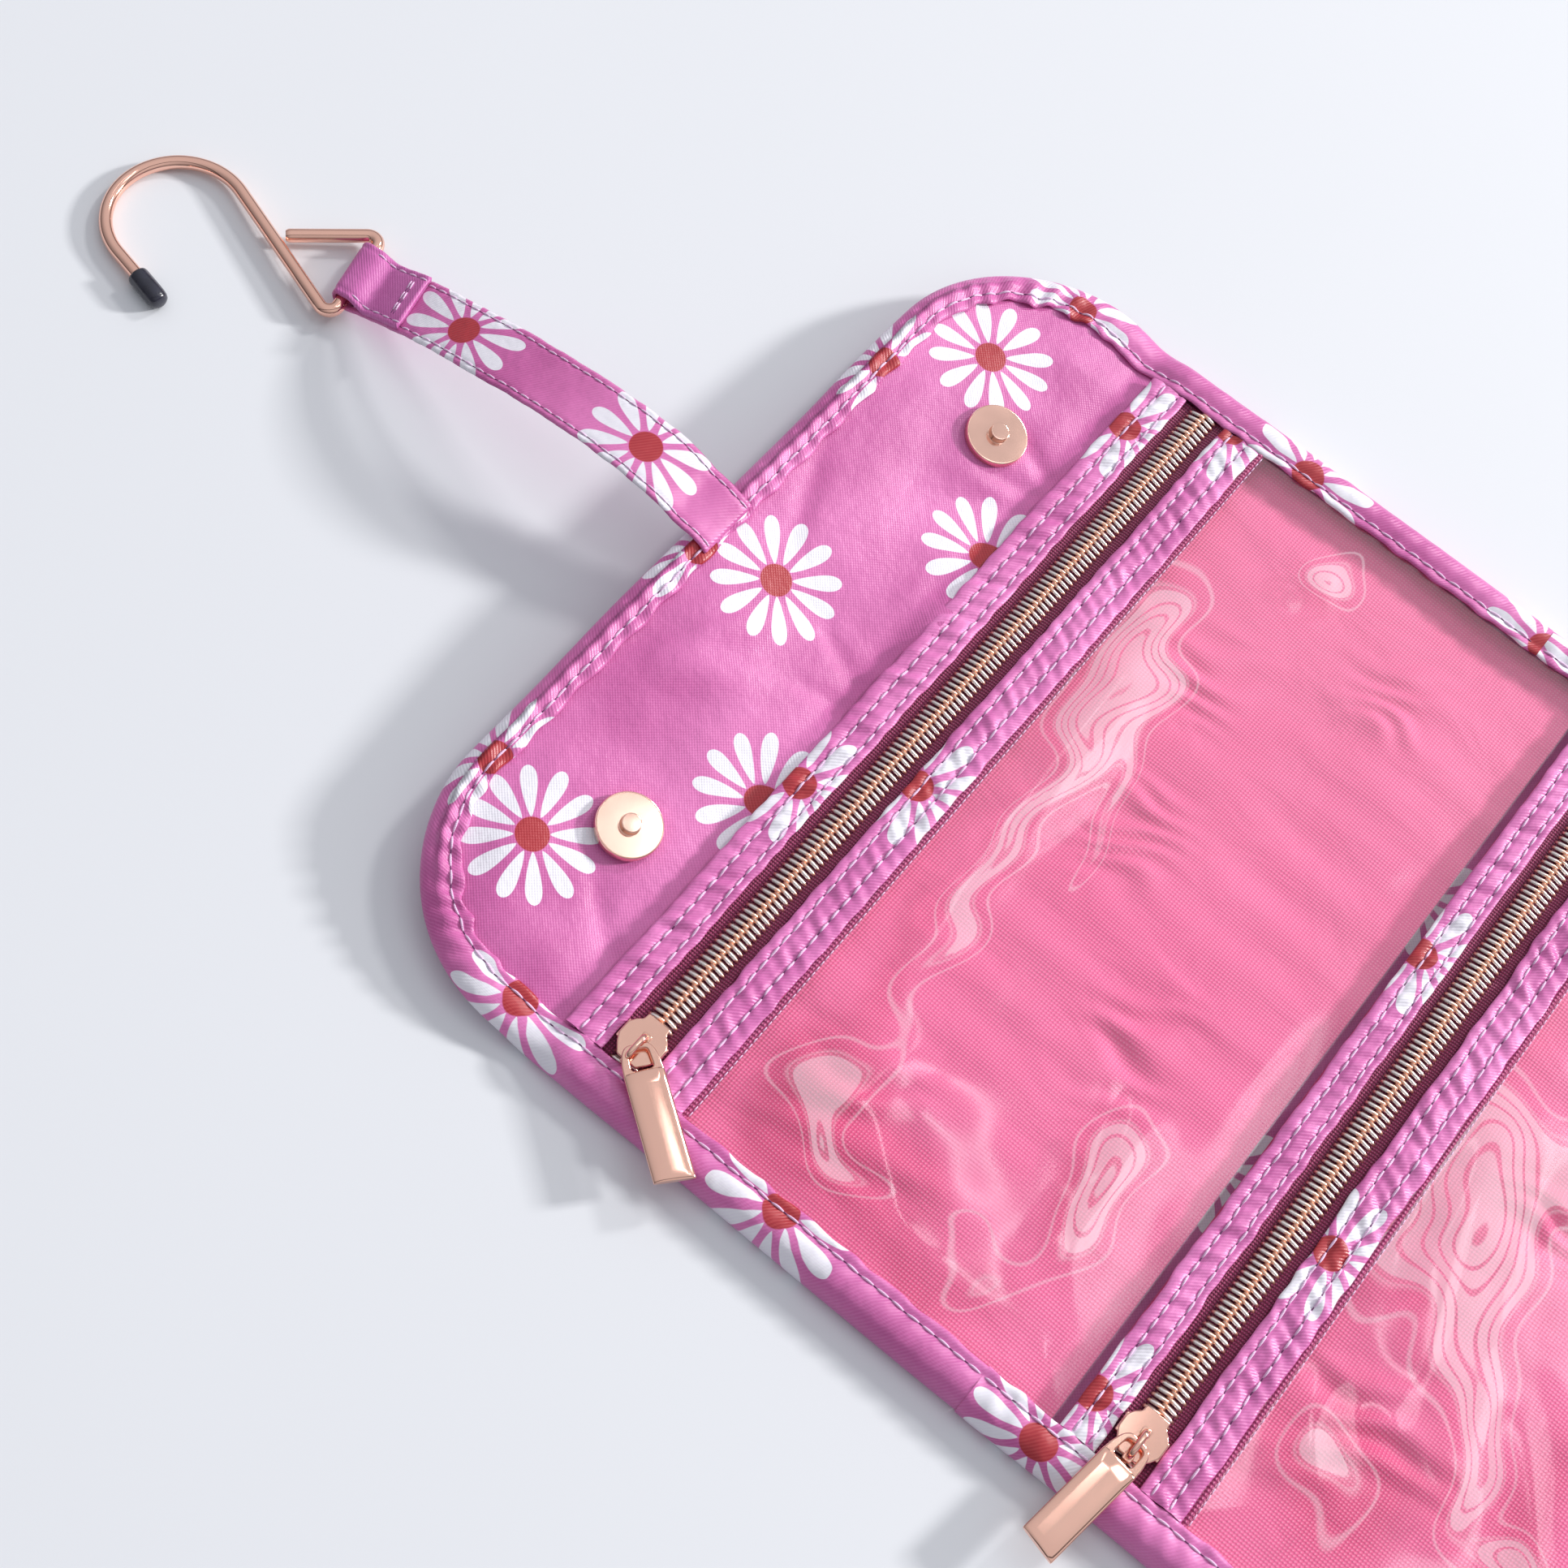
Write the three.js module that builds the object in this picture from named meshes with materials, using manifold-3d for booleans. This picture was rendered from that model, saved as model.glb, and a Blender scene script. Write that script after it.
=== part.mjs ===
// Hanging toiletry bag, opened and laid flat on its back: a snap flap with a webbing strap and a wire hook,
// and two clear zip pockets that fold up on each other. Millimetres, +X across, +Y towards the hook, +Z up.
// Origin: the back face, under the middle of the upper zip.
import * as THREE from 'three';
import { mergeVertices } from 'three/addons/utils/BufferGeometryUtils.js';
import Module from 'manifold-3d';

const wasm = await Module();
wasm.setup();

// Driving dimensions
const GAP = 0.3;                  // between neighbouring pieces
const HALF_WIDTH = 109;           // bag, outside the binding
const BINDING_W = 9.5;            // side and bottom binding
const TOP_BINDING_W = 7;
const CORNER_R = 38;              // outside corners of the flap and of the lower pocket
const PANEL_T = 5.8;              // pocket panel, back face to window
const BACK_T = 0.5;
const LINING_Z = [0.8, 1.2];
const WINDOW_Z = [5.4, 5.8];

const FLAP_T = 3.2;
const FLAP_START = 15.5;
const FLAP_END = 62;
const FLAP_AXIS = [12, 10.5];     // y and z of the fold between flap and upper pocket
const FLAP_LIFT = THREE.MathUtils.degToRad(12);

const PANEL_1_TOP = 14;
const FOLD_Y = -103.6;            // fold between the two pockets
const FOLD_HALF_GAP = 0.8;
const PANEL_2_END = -219.4;

const ZIP_Y = [0, -117.4];
const STRIP_IN = 5.2;             // from the zip's middle to a strip's inner edge
const STRIP_OUT = 14.5;           // and to the lower strip's outer edge
const STRIP_Z = [5.0, 5.8];
const TAPE_IN = 3.4;
const TAPE_OUT = 12.5;
const TAPE_Z = [4.2, 4.7];
const TEETH_W = 2.95;
const TEETH_Z = [3.4, 5.8];

const SLIDER_X = [-93.5, -91.5];
const SLIDER_NOSE = 5;
const SLIDER_TAIL = -5.2;
const SLIDER_HALF_W = 4.9;
const SLIDER_TOP_Z = [6.1, 6.8];
const SLIDER_LOWER_Z = [2.3, 3.0];
const BAIL_X = -2.2;              // middle of the bail, from the slider's middle
const BAIL_HALF_T = 0.5;
const BAIL_TOP_Z = 9.6;
const PULL_Z = 8;                 // axis of the pull's cross-bar
const PULL_ANGLE = [-124.8, 171.7].map(THREE.MathUtils.degToRad);
const PULL_LENGTH = 26.9;
const PULL_HALF_W = 4;

const SNAP_X = 61.5;
const SNAP_Y = 29.4;              // on the flap
const SNAP_R = 7;
const WASHER_R = 5.2;
const WASHER_Z = [1.0, 1.6];       // layer of the washers and the interlining inside the flap
const SOCKET_DEPTH = 1.9;

const STRAP_HALF_W = 7.8;
const STRAP_LOOP_HALF_W = 7.3;
const STRAP_T = 1.4;
const STRAP_AXIS = [63.4, 15];    // y and z where the strap leaves the flap's edge, flap lifted
const STRAP_ROOT_Y = [56.3, 61.3]; // part of the strap that is sewn onto the flap's binding, flap flat

const WIRE_R = 1.5;
const BAR = [157.5, 3.3];         // y and z of the hook's base bar
const BAR_HALF = 8.6;
const BAR_YAW = THREE.MathUtils.degToRad(14.2);
const HOOK_DIP = THREE.MathUtils.degToRad(-1.7);
const WIRE_BEND_R = 2.2;
const SHANK_ANGLE = THREE.MathUtils.degToRad(57.9);
const SHANK_LENGTH = 34.5;
const BIGHT_R = 15.2;
const BIGHT_END = THREE.MathUtils.degToRad(154);
const TIP_LENGTH = 14.7;
const CAP_LENGTH = 8.8;
const CAP_R = 2.35;

// Materials
const COLOURS = {
  print: [0xd66cb8, 0.6, 0],
  lining: [0xee6496, 0.7, 0],
  window: [0xf5b8cf, 0.08, 0],
  tape: [0x731642, 0.8, 0],
  teeth: [0xe2b9a2, 0.3, 0.9],
  metal: [0xe8b39c, 0.2, 1],
  rubber: [0x23232f, 0.5, 0],
};

function material(name) {
  const [color, roughness, metalness] = COLOURS[name];
  return new THREE.MeshStandardMaterial({ color, roughness, metalness });
}

function piece(name, geometry, finish) {
  const mesh = new THREE.Mesh(geometry, material(finish));
  mesh.name = name;
  return mesh;
}

// Geometry helpers
function slab(shape, [low, high]) {
  const options = { depth: high - low, bevelEnabled: false, curveSegments: 10 };
  return new THREE.ExtrudeGeometry(shape, options).translate(0, 0, low);
}

function block([x0, x1], [y0, y1], [z0, z1]) {
  const geometry = new THREE.BoxGeometry(x1 - x0, y1 - y0, z1 - z0);
  return geometry.translate((x0 + x1) / 2, (y0 + y1) / 2, (z0 + z1) / 2);
}

function ring(radius, sides, centreX = 0, centreY = 0) {
  return Array.from({ length: sides }, (_, i) => {
    const angle = 2 * Math.PI * (i + 0.25) / sides;
    return new THREE.Vector2(centreX + radius * Math.cos(angle), centreY + radius * Math.sin(angle));
  });
}

function roundHole(x, y, radius) {
  return new THREE.Path(ring(radius, 24, x, y));
}

function turned(profile, segments = 24) {
  const points = profile.map(([r, z]) => new THREE.Vector2(r, z));
  return new THREE.LatheGeometry(points, segments).rotateX(Math.PI / 2);
}

function toSolid(geometry) {
  const bare = geometry.clone();
  bare.deleteAttribute('normal');
  bare.deleteAttribute('uv');
  const merged = mergeVertices(bare);
  const triVerts = new Uint32Array(merged.index.array);
  const vertProperties = new Float32Array(merged.attributes.position.array);
  return new wasm.Manifold(new wasm.Mesh({ numProp: 3, vertProperties, triVerts }));
}

function joined(geometries) {
  const whole = geometries.map(toSolid).reduce((sum, solid) => sum.add(solid));
  const mesh = whole.getMesh();
  const geometry = new THREE.BufferGeometry();
  geometry.setAttribute('position', new THREE.BufferAttribute(mesh.vertProperties, 3));
  geometry.setIndex(new THREE.BufferAttribute(mesh.triVerts, 1));
  geometry.computeVertexNormals();
  return geometry;
}

// Outline with a straight open end and a closed end with round corners
function roundEnd(halfWidth, yOpen, yClosed, radius) {
  const side = Math.sign(yClosed - yOpen);
  const cy = yClosed - side * radius;
  const quarter = side * Math.PI / 2;
  const shape = new THREE.Shape();
  shape.moveTo(-halfWidth, yOpen);
  shape.lineTo(-halfWidth, cy);
  shape.absarc(-halfWidth + radius, cy, radius, Math.PI, quarter, side > 0);
  shape.absarc(halfWidth - radius, cy, radius, quarter, 0, side > 0);
  shape.lineTo(halfWidth, yOpen);
  return shape;
}

function edgeBinding(yOpen, yClosed, endWidth) {
  const side = Math.sign(yClosed - yOpen);
  const inner = roundEnd(HALF_WIDTH - BINDING_W, yOpen, yClosed - side * endWidth, CORNER_R - endWidth);
  const outer = roundEnd(HALF_WIDTH, yOpen, yClosed, CORNER_R);
  return new THREE.Shape([...outer.getPoints(10), ...inner.getPoints(10).reverse()]);
}

function insideBinding(yOpen, yClosed, endWidth, holes = []) {
  const side = Math.sign(yClosed - yOpen);
  const halfWidth = HALF_WIDTH - BINDING_W - GAP;
  const shape = roundEnd(halfWidth, yOpen, yClosed - side * (endWidth + GAP), CORNER_R - endWidth - GAP);
  shape.holes = holes;
  return shape;
}

// Zip: two strips of print over two tapes, with a bar of coil teeth on each tape
function zip(index, upperStripOut) {
  const y = ZIP_Y[index];
  const x = [GAP - HALF_WIDTH + BINDING_W, HALF_WIDTH - BINDING_W - GAP];
  const name = `zip_${index + 1}`;
  const pieces = [];
  for (const [side, word, stripOut] of [[1, 'upper', upperStripOut], [-1, 'lower', STRIP_OUT]]) {
    const span = (near, far) => [y + side * near, y + side * far].sort((a, b) => a - b);
    const strip = block(x, span(STRIP_IN, stripOut), STRIP_Z);
    const tape = block(x, span(TAPE_IN, TAPE_OUT), TAPE_Z);
    const teeth = block(x, span(GAP / 2, GAP / 2 + TEETH_W), TEETH_Z);
    pieces.push(piece(`${name}_${word}_strip`, strip, 'print'));
    pieces.push(piece(`${name}_${word}_tape`, tape, 'tape'));
    pieces.push(piece(`${name}_${word}_teeth`, teeth, 'teeth'));
  }
  return pieces;
}

function sliderOutline() {
  const half = [
    [SLIDER_NOSE, 2.6],
    [SLIDER_NOSE - 1.6, 3.4],
    [SLIDER_NOSE - 3.4, SLIDER_HALF_W],
    [SLIDER_TAIL + 3.2, SLIDER_HALF_W],
    [SLIDER_TAIL + 1, 3.4],
    [SLIDER_TAIL, 2],
  ];
  const left = half.map(([x, y]) => new THREE.Vector2(x, y));
  const right = half.map(([x, y]) => new THREE.Vector2(x, -y)).reverse();
  return new THREE.Shape([...right, ...left]);
}

// Slider top: plate, two side flanges and the bail that the pull hangs from
function sliderTop() {
  const flangeX = [-2, 1.4];
  const flangeY = [3.5, SLIDER_HALF_W - 0.1];
  const flangeZ = [TAPE_Z[1] + GAP, SLIDER_TOP_Z[1]];
  const flanges = [
    block(flangeX, flangeY, flangeZ),
    block(flangeX, [-flangeY[1], -flangeY[0]], flangeZ),
  ];
  const rise = BAIL_TOP_Z - SLIDER_TOP_Z[1];
  const arch = new THREE.Shape([
    new THREE.Vector2(-2.8, -GAP),
    new THREE.Vector2(-2.8, rise - 0.8),
    new THREE.Vector2(-2, rise),
    new THREE.Vector2(2, rise),
    new THREE.Vector2(2.8, rise - 0.8),
    new THREE.Vector2(2.8, -GAP),
    new THREE.Vector2(1.9, -GAP),
    new THREE.Vector2(1.9, rise - 0.85),
    new THREE.Vector2(-1.9, rise - 0.85),
    new THREE.Vector2(-1.9, -GAP),
  ]);
  const bail = slab(arch, [-BAIL_HALF_T, BAIL_HALF_T]).rotateX(Math.PI / 2);
  bail.translate(BAIL_X, 0, SLIDER_TOP_Z[1]);
  return joined([slab(sliderOutline(), SLIDER_TOP_Z), ...flanges, bail]);
}

// Pull: a thin frame round the bail, then a bar with a soft ridge along its middle
function pullBar() {
  const frameHalfT = 0.4;
  const frame = new THREE.Shape([
    new THREE.Vector2(-frameHalfT, -PULL_HALF_W + 1.2),
    new THREE.Vector2(0.8, -PULL_HALF_W),
    new THREE.Vector2(5.8, -PULL_HALF_W),
    new THREE.Vector2(5.8, PULL_HALF_W),
    new THREE.Vector2(0.8, PULL_HALF_W),
    new THREE.Vector2(-frameHalfT, PULL_HALF_W - 1.2),
  ]);
  frame.holes = [new THREE.Path([
    new THREE.Vector2(frameHalfT, -3),
    new THREE.Vector2(5.2, -3),
    new THREE.Vector2(5.2, 3),
    new THREE.Vector2(frameHalfT, 3),
  ])];
  const ridge = new THREE.Shape([
    new THREE.Vector2(-PULL_HALF_W, -0.5),
    new THREE.Vector2(0, -0.8),
    new THREE.Vector2(PULL_HALF_W, -0.5),
    new THREE.Vector2(PULL_HALF_W, 0.5),
    new THREE.Vector2(0, 0.8),
    new THREE.Vector2(-PULL_HALF_W, 0.5),
  ]);
  const barStart = 5.4;
  const bar = slab(ridge, [barStart, PULL_LENGTH]).rotateX(Math.PI / 2).rotateZ(Math.PI / 2);
  return joined([slab(frame, [-frameHalfT, frameHalfT]), bar]);
}

function slider(index) {
  const name = `zip_${index + 1}`;
  const group = new THREE.Group();
  group.position.set(SLIDER_X[index], ZIP_Y[index], 0);
  group.add(piece(`${name}_slider`, sliderTop(), 'metal'));
  group.add(piece(`${name}_slider_lower_plate`, slab(sliderOutline(), SLIDER_LOWER_Z), 'metal'));
  const pull = piece(`${name}_pull`, pullBar(), 'metal');
  pull.position.set(BAIL_X, 0, PULL_Z);
  pull.rotation.z = PULL_ANGLE[index];
  group.add(pull);
  return group;
}

// Snaps
function maleSnap() {
  const face = 1.8;
  const stud = face + 1.6;
  return turned([[0, 0], [SNAP_R, 0], [SNAP_R, face], [2.1, face], [2.1, stud], [0, stud]]);
}

function femaleSnap() {
  const depth = 2.6;
  const socketR = 2.5;
  const socket = [[0, SOCKET_DEPTH], [socketR, SOCKET_DEPTH], [socketR, 0]];
  return turned([...socket, [SNAP_R, 0], [SNAP_R, depth], [0, depth]]);
}

// Pockets
function upperPocket() {
  const x = [GAP - HALF_WIDTH + BINDING_W, HALF_WIDTH - BINDING_W - GAP];
  const low = FOLD_Y + FOLD_HALF_GAP;
  const group = new THREE.Group();
  group.add(piece('panel_1_back', block(x, [low, PANEL_1_TOP], [0, BACK_T]), 'print'));
  group.add(piece('panel_1_lining', block(x, [low, PANEL_1_TOP], LINING_Z), 'lining'));
  group.add(piece('panel_1_window', block(x, [low, ZIP_Y[0] - STRIP_OUT - GAP], WINDOW_Z), 'window'));
  for (const [side, word] of [[-1, 'left'], [1, 'right']]) {
    const span = [side * HALF_WIDTH, side * (HALF_WIDTH - BINDING_W)].sort((a, b) => a - b);
    const binding = block(span, [low, PANEL_1_TOP], [0, PANEL_T]);
    group.add(piece(`panel_1_${word}_binding`, binding, 'print'));
  }
  group.add(...zip(0, PANEL_1_TOP), slider(0));
  return group;
}

function lowerPocket() {
  const top = FOLD_Y - FOLD_HALF_GAP;
  const snapY = 2 * FOLD_Y - 2 * FLAP_AXIS[0] + SNAP_Y;
  const snapHoles = () => [-1, 1].map((side) => roundHole(side * SNAP_X, snapY, SNAP_R + 2 * GAP));
  const back = insideBinding(top, PANEL_2_END, BINDING_W, snapHoles());
  const lining = insideBinding(top, PANEL_2_END, BINDING_W, snapHoles());
  const window = insideBinding(ZIP_Y[1] - STRIP_OUT - GAP, PANEL_2_END, BINDING_W);
  const group = new THREE.Group();
  group.add(piece('panel_2_back', slab(back, [0, BACK_T]), 'print'));
  group.add(piece('panel_2_lining', slab(lining, LINING_Z), 'lining'));
  group.add(piece('panel_2_window', slab(window, WINDOW_Z), 'window'));
  group.add(piece('panel_2_binding', slab(edgeBinding(top, PANEL_2_END, BINDING_W), [0, PANEL_T]), 'print'));
  for (const [side, word] of [[-1, 'left'], [1, 'right']]) {
    const snap = piece(`snap_${word}_female`, femaleSnap(), 'metal');
    snap.position.set(side * SNAP_X, snapY, 0);
    group.add(snap);
  }
  group.add(...zip(1, top - ZIP_Y[1]), slider(1));
  return group;
}

// Flap, built flat and then lifted about its fold
function flap() {
  const washerHoles = [-1, 1].map((side) => roundHole(side * SNAP_X, SNAP_Y, WASHER_R + 2 * GAP));
  const outline = (holes) => insideBinding(FLAP_START, FLAP_END, TOP_BINDING_W, holes);
  const washerT = WASHER_Z[1] - WASHER_Z[0];
  const washerProfile = [[0, 0], [WASHER_R, 0], [WASHER_R, washerT], [0, washerT]];
  const frontZ = [1.9, 2.6];
  const flat = new THREE.Group();
  flat.add(piece('flap_back', slab(outline(), [0, 0.7]), 'print'));
  flat.add(piece('flap_interlining', slab(outline(washerHoles), WASHER_Z), 'lining'));
  flat.add(piece('flap_front', slab(outline(), frontZ), 'print'));
  const binding = slab(edgeBinding(FLAP_START, FLAP_END, TOP_BINDING_W), [0, FLAP_T]);
  flat.add(piece('flap_binding', binding, 'print'));
  for (const [side, word] of [[-1, 'left'], [1, 'right']]) {
    const male = piece(`snap_${word}_male`, maleSnap(), 'metal');
    male.position.set(side * SNAP_X, SNAP_Y, frontZ[1] + GAP);
    const washer = piece(`snap_${word}_washer`, turned(washerProfile), 'metal');
    washer.position.set(side * SNAP_X, SNAP_Y, WASHER_Z[0]);
    flat.add(male, washer);
  }
  const rootZ = FLAP_T + GAP;
  const root = block([-STRAP_HALF_W, STRAP_HALF_W], STRAP_ROOT_Y, [rootZ, rootZ + STRAP_T]);
  flat.add(piece('strap_root', root, 'print'));
  flat.position.set(0, -FLAP_AXIS[0], -FLAP_AXIS[1]);
  const lifted = new THREE.Group();
  lifted.position.set(0, FLAP_AXIS[0], FLAP_AXIS[1]);
  lifted.rotation.x = FLAP_LIFT;
  lifted.add(flat);
  return lifted;
}

// Strap: one ribbon that arches off the flap, runs under the hook's bar, round it and back on top of itself
function strapLine() {
  const arch = [[68, 17.6], [74, 19.9], [81, 21], [91, 20.6], [103, 18.7], [115, 16.2], [127, 13.1]];
  const slope = THREE.MathUtils.degToRad(-24.8);
  const along = new THREE.Vector2(Math.cos(slope), Math.sin(slope));
  const up = new THREE.Vector2(-along.y, along.x);
  const bar = new THREE.Vector2(...BAR);
  const loopR = WIRE_R + 0.35 + STRAP_T / 2;
  const beside = (back, height) => bar.clone().addScaledVector(along, -back).addScaledVector(up, height);
  const points = [STRAP_AXIS, ...arch].map(([y, z]) => new THREE.Vector2(y, z));
  for (const back of [20, 14, 8, 3]) {
    points.push(beside(back, -loopR));
  }
  const turns = 8;
  const firstTurn = slope - Math.PI / 2;
  const lastTurn = firstTurn + Math.PI * 0.98;
  for (let i = 0; i <= turns; i += 1) {
    const angle = firstTurn + (lastTurn - firstTurn) * i / turns;
    points.push(new THREE.Vector2(Math.cos(angle), Math.sin(angle)).multiplyScalar(loopR).add(bar));
  }
  const tabHeight = STRAP_T + GAP + 0.1 - loopR;
  points.push(beside(3.4, 1.5), beside(6.4, tabHeight + 0.2));
  for (const back of [9, 12, 17]) {
    points.push(beside(back, tabHeight));
  }
  return new THREE.SplineCurve(points);
}

function strap() {
  const line = strapLine();
  const steps = 90;
  const above = [];
  const below = [];
  for (let i = 0; i <= steps; i += 1) {
    const point = line.getPointAt(i / steps);
    const tangent = line.getTangentAt(i / steps);
    const side = new THREE.Vector2(-tangent.y, tangent.x).multiplyScalar(STRAP_T / 2);
    above.push(point.clone().add(side));
    below.push(point.clone().sub(side));
  }
  const profile = new THREE.Shape([...below, ...above.reverse()]);
  const ribbon = slab(profile, [-1, 1]).rotateX(Math.PI / 2).rotateZ(Math.PI / 2);
  const vertices = ribbon.attributes.position;
  for (let i = 0; i < vertices.count; i += 1) {
    const y = vertices.getY(i);
    const end = THREE.MathUtils.smoothstep(y, 118, 148);
    const x = vertices.getX(i) * THREE.MathUtils.lerp(STRAP_HALF_W, STRAP_LOOP_HALF_W, end);
    vertices.setX(i, x);
    vertices.setY(i, y + x * Math.tan(BAR_YAW) * end);
  }
  ribbon.computeVertexNormals();
  return piece('strap', ribbon, 'print');
}

// Hook: one wire, from the end that meets the shank, round the triangle, up the shank and round the bight
function hookLine() {
  const shank = new THREE.Vector2(Math.cos(SHANK_ANGLE), Math.sin(SHANK_ANGLE));
  const thirdSideAngle = THREE.MathUtils.degToRad(118.6);
  const third = new THREE.Vector2(Math.cos(thirdSideAngle), Math.sin(thirdSideAngle));
  const thirdLength = 17.4;
  const rightCorner = new THREE.Vector2(BAR_HALF, WIRE_BEND_R);
  const thirdStart = rightCorner.clone();
  thirdStart.add(new THREE.Vector2(third.y, -third.x).multiplyScalar(WIRE_BEND_R));
  const start = thirdStart.clone().addScaledVector(third, thirdLength);
  const path = new THREE.Path();
  path.moveTo(start.x, start.y);
  path.lineTo(thirdStart.x, thirdStart.y);
  path.absarc(BAR_HALF, WIRE_BEND_R, WIRE_BEND_R, thirdSideAngle - Math.PI / 2, -Math.PI / 2, true);
  path.lineTo(-BAR_HALF, 0);
  path.absarc(-BAR_HALF, WIRE_BEND_R, WIRE_BEND_R, -Math.PI / 2, SHANK_ANGLE + Math.PI / 2, true);
  const shankStart = path.currentPoint.clone();
  const shankEnd = shankStart.clone().addScaledVector(shank, SHANK_LENGTH);
  path.lineTo(shankEnd.x, shankEnd.y);
  const centre = shankEnd.clone().add(new THREE.Vector2(-shank.y, shank.x).multiplyScalar(BIGHT_R));
  path.absarc(centre.x, centre.y, BIGHT_R, SHANK_ANGLE - Math.PI / 2, BIGHT_END, false);
  const heading = new THREE.Vector2(-Math.sin(BIGHT_END), Math.cos(BIGHT_END));
  const end = path.currentPoint.clone().addScaledVector(heading, TIP_LENGTH);
  path.lineTo(end.x, end.y);
  return { path, end, heading };
}

function hook() {
  const { path, end, heading } = hookLine();
  const points = path.getSpacedPoints(110).map(({ x, y }) => new THREE.Vector3(x, y, 0));
  const section = new THREE.Shape(ring(WIRE_R, 10));
  const extrudePath = new THREE.CatmullRomCurve3(points);
  const wire = new THREE.ExtrudeGeometry(section, { steps: 96, extrudePath });
  const bore = WIRE_R + GAP;
  const depth = 7.6;
  const capOutside = [[0, 0], [1.7, 0.15], [CAP_R - 0.1, 1], [CAP_R, 2], [CAP_R, CAP_LENGTH]];
  const capInside = [[bore, CAP_LENGTH], [bore, CAP_LENGTH - depth], [0, CAP_LENGTH - depth]];
  const cap = piece('hook_tip_cap', turned([...capOutside, ...capInside], 16), 'rubber');
  const away = new THREE.Vector3(-heading.x, -heading.y, 0);
  cap.quaternion.setFromUnitVectors(new THREE.Vector3(0, 0, 1), away);
  cap.position.set(end.x, end.y, 0).addScaledVector(away, depth - GAP - CAP_LENGTH);
  const dipped = new THREE.Group();
  dipped.rotation.x = HOOK_DIP;
  dipped.add(piece('hook_wire', wire, 'metal'), cap);
  const group = new THREE.Group();
  group.position.set(0, ...BAR);
  group.rotation.z = BAR_YAW;
  group.add(dipped);
  return group;
}

const bag = new THREE.Group();
bag.add(upperPocket(), lowerPocket(), flap(), strap(), hook());

export default bag;
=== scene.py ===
"""Hanging toiletry bag, opened and laid on its back: the looks for the CAD frame.

Helpers work in millimetres in the CAD frame.
"""

import math

import bpy
import numpy as np
from mathutils import Matrix, Vector


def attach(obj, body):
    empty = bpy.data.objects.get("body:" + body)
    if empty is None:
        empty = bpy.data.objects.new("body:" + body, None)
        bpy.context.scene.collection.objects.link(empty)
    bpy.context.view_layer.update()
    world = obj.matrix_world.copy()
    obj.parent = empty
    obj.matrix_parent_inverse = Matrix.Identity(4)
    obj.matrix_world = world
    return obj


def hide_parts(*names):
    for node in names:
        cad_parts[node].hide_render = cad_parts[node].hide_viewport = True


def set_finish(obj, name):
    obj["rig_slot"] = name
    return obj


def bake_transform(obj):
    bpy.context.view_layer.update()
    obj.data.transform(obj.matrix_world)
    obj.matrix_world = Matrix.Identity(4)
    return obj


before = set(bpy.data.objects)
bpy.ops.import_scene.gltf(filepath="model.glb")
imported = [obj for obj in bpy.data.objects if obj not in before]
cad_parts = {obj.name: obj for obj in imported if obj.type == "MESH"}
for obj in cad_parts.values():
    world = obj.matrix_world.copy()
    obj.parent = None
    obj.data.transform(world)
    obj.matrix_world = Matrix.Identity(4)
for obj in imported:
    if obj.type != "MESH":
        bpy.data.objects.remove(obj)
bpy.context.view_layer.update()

MM = 0.001
PI = math.pi

# Sizes of the CAD parts, in millimetres
HALF_WIDTH = 109
SIDE_BAND = 9.5
TOP_BAND = 7
CORNER_R = 38
PANEL_T = 5.8
FLAP_T = 3.2
FLAP_END = 62
FLAP_AXIS = (12, 10.5)  # y and z of the fold between flap and upper pocket
FLAP_LIFT = math.radians(12)
FOLD_Y = -103.6
PANEL_2_END = -219.4
ZIP_Y = (0, -117.4)
SLIDER_X = (-93.5, -91.5)
PULL_TURN = (math.radians(-124.8), math.radians(171.7))
BAIL_X = -2.2  # from the slider's middle
PULL_Z = 8  # axis of the pull's cross-bar
SNAP = (61.5, 29.4)
FEMALE_SNAP_Y = 2 * FOLD_Y - 2 * FLAP_AXIS[0] + SNAP[1]
# Where the sockets pierce panel 2: x, y and radius
SNAP_HOLES = [(side * SNAP[0], FEMALE_SNAP_Y, 4.5) for side in (-1, 1)]
STRAP_HALF = 7.8
BAR = np.array([157.5, 3.3])  # y and z of the hook's bar in the strap's loop
BAR_YAW = math.radians(14.2)
HOOK_DIP = math.radians(-1.7)
MID_PANEL = -88  # where the upper and lower halves of the outer cloth and of the binding meet
STRIP_IN = 5.2  # from the zip's middle to a strip's inner edge, and to a lower strip's outer edge
STRIP_OUT = 14.5

# How far the cloths stop short of the bag's outer edge
OUTER_INSET = 3.5
FRONT_INSET = 5
LINING_INSET = 7
WINDOW_INSET = 8.2

# Half the length of everything sewn in beside a zip
ZIP_HALF = 99.6

# Zones of cloth that bend at a joint: the two bodies, and the zone's two ends
TOP_FOLD = ("panel_1", "flap", (0, 0.009, 0), (0, 0.021, 0))
LOW_FOLD = ("panel_1", "panel_2", (0, -0.091, 0), (0, -0.116, 0))


# ---------------------------------------------------------------- shapes
def smooth(t):
    t = np.clip(t, 0, 1)
    return t * t * (3 - 2 * t)


def ripples(x, y, seed, wavelength, count=9, along=(1.0, 1.0)):
    """Soft seeded waves, about 1 high."""
    rng = np.random.default_rng(seed)
    total = np.zeros(np.broadcast(x, y).shape)
    for _ in range(count):
        turn, phase = rng.uniform(0, 2 * PI, 2)
        k = 2 * PI / wavelength * rng.uniform(0.6, 1.5)
        total = total + np.sin(k * (x * math.cos(turn) * along[0] + y * math.sin(turn) * along[1]) + phase)
    return total / math.sqrt(count)


def unit(vectors):
    return vectors / np.linalg.norm(vectors, axis=-1, keepdims=True)


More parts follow.
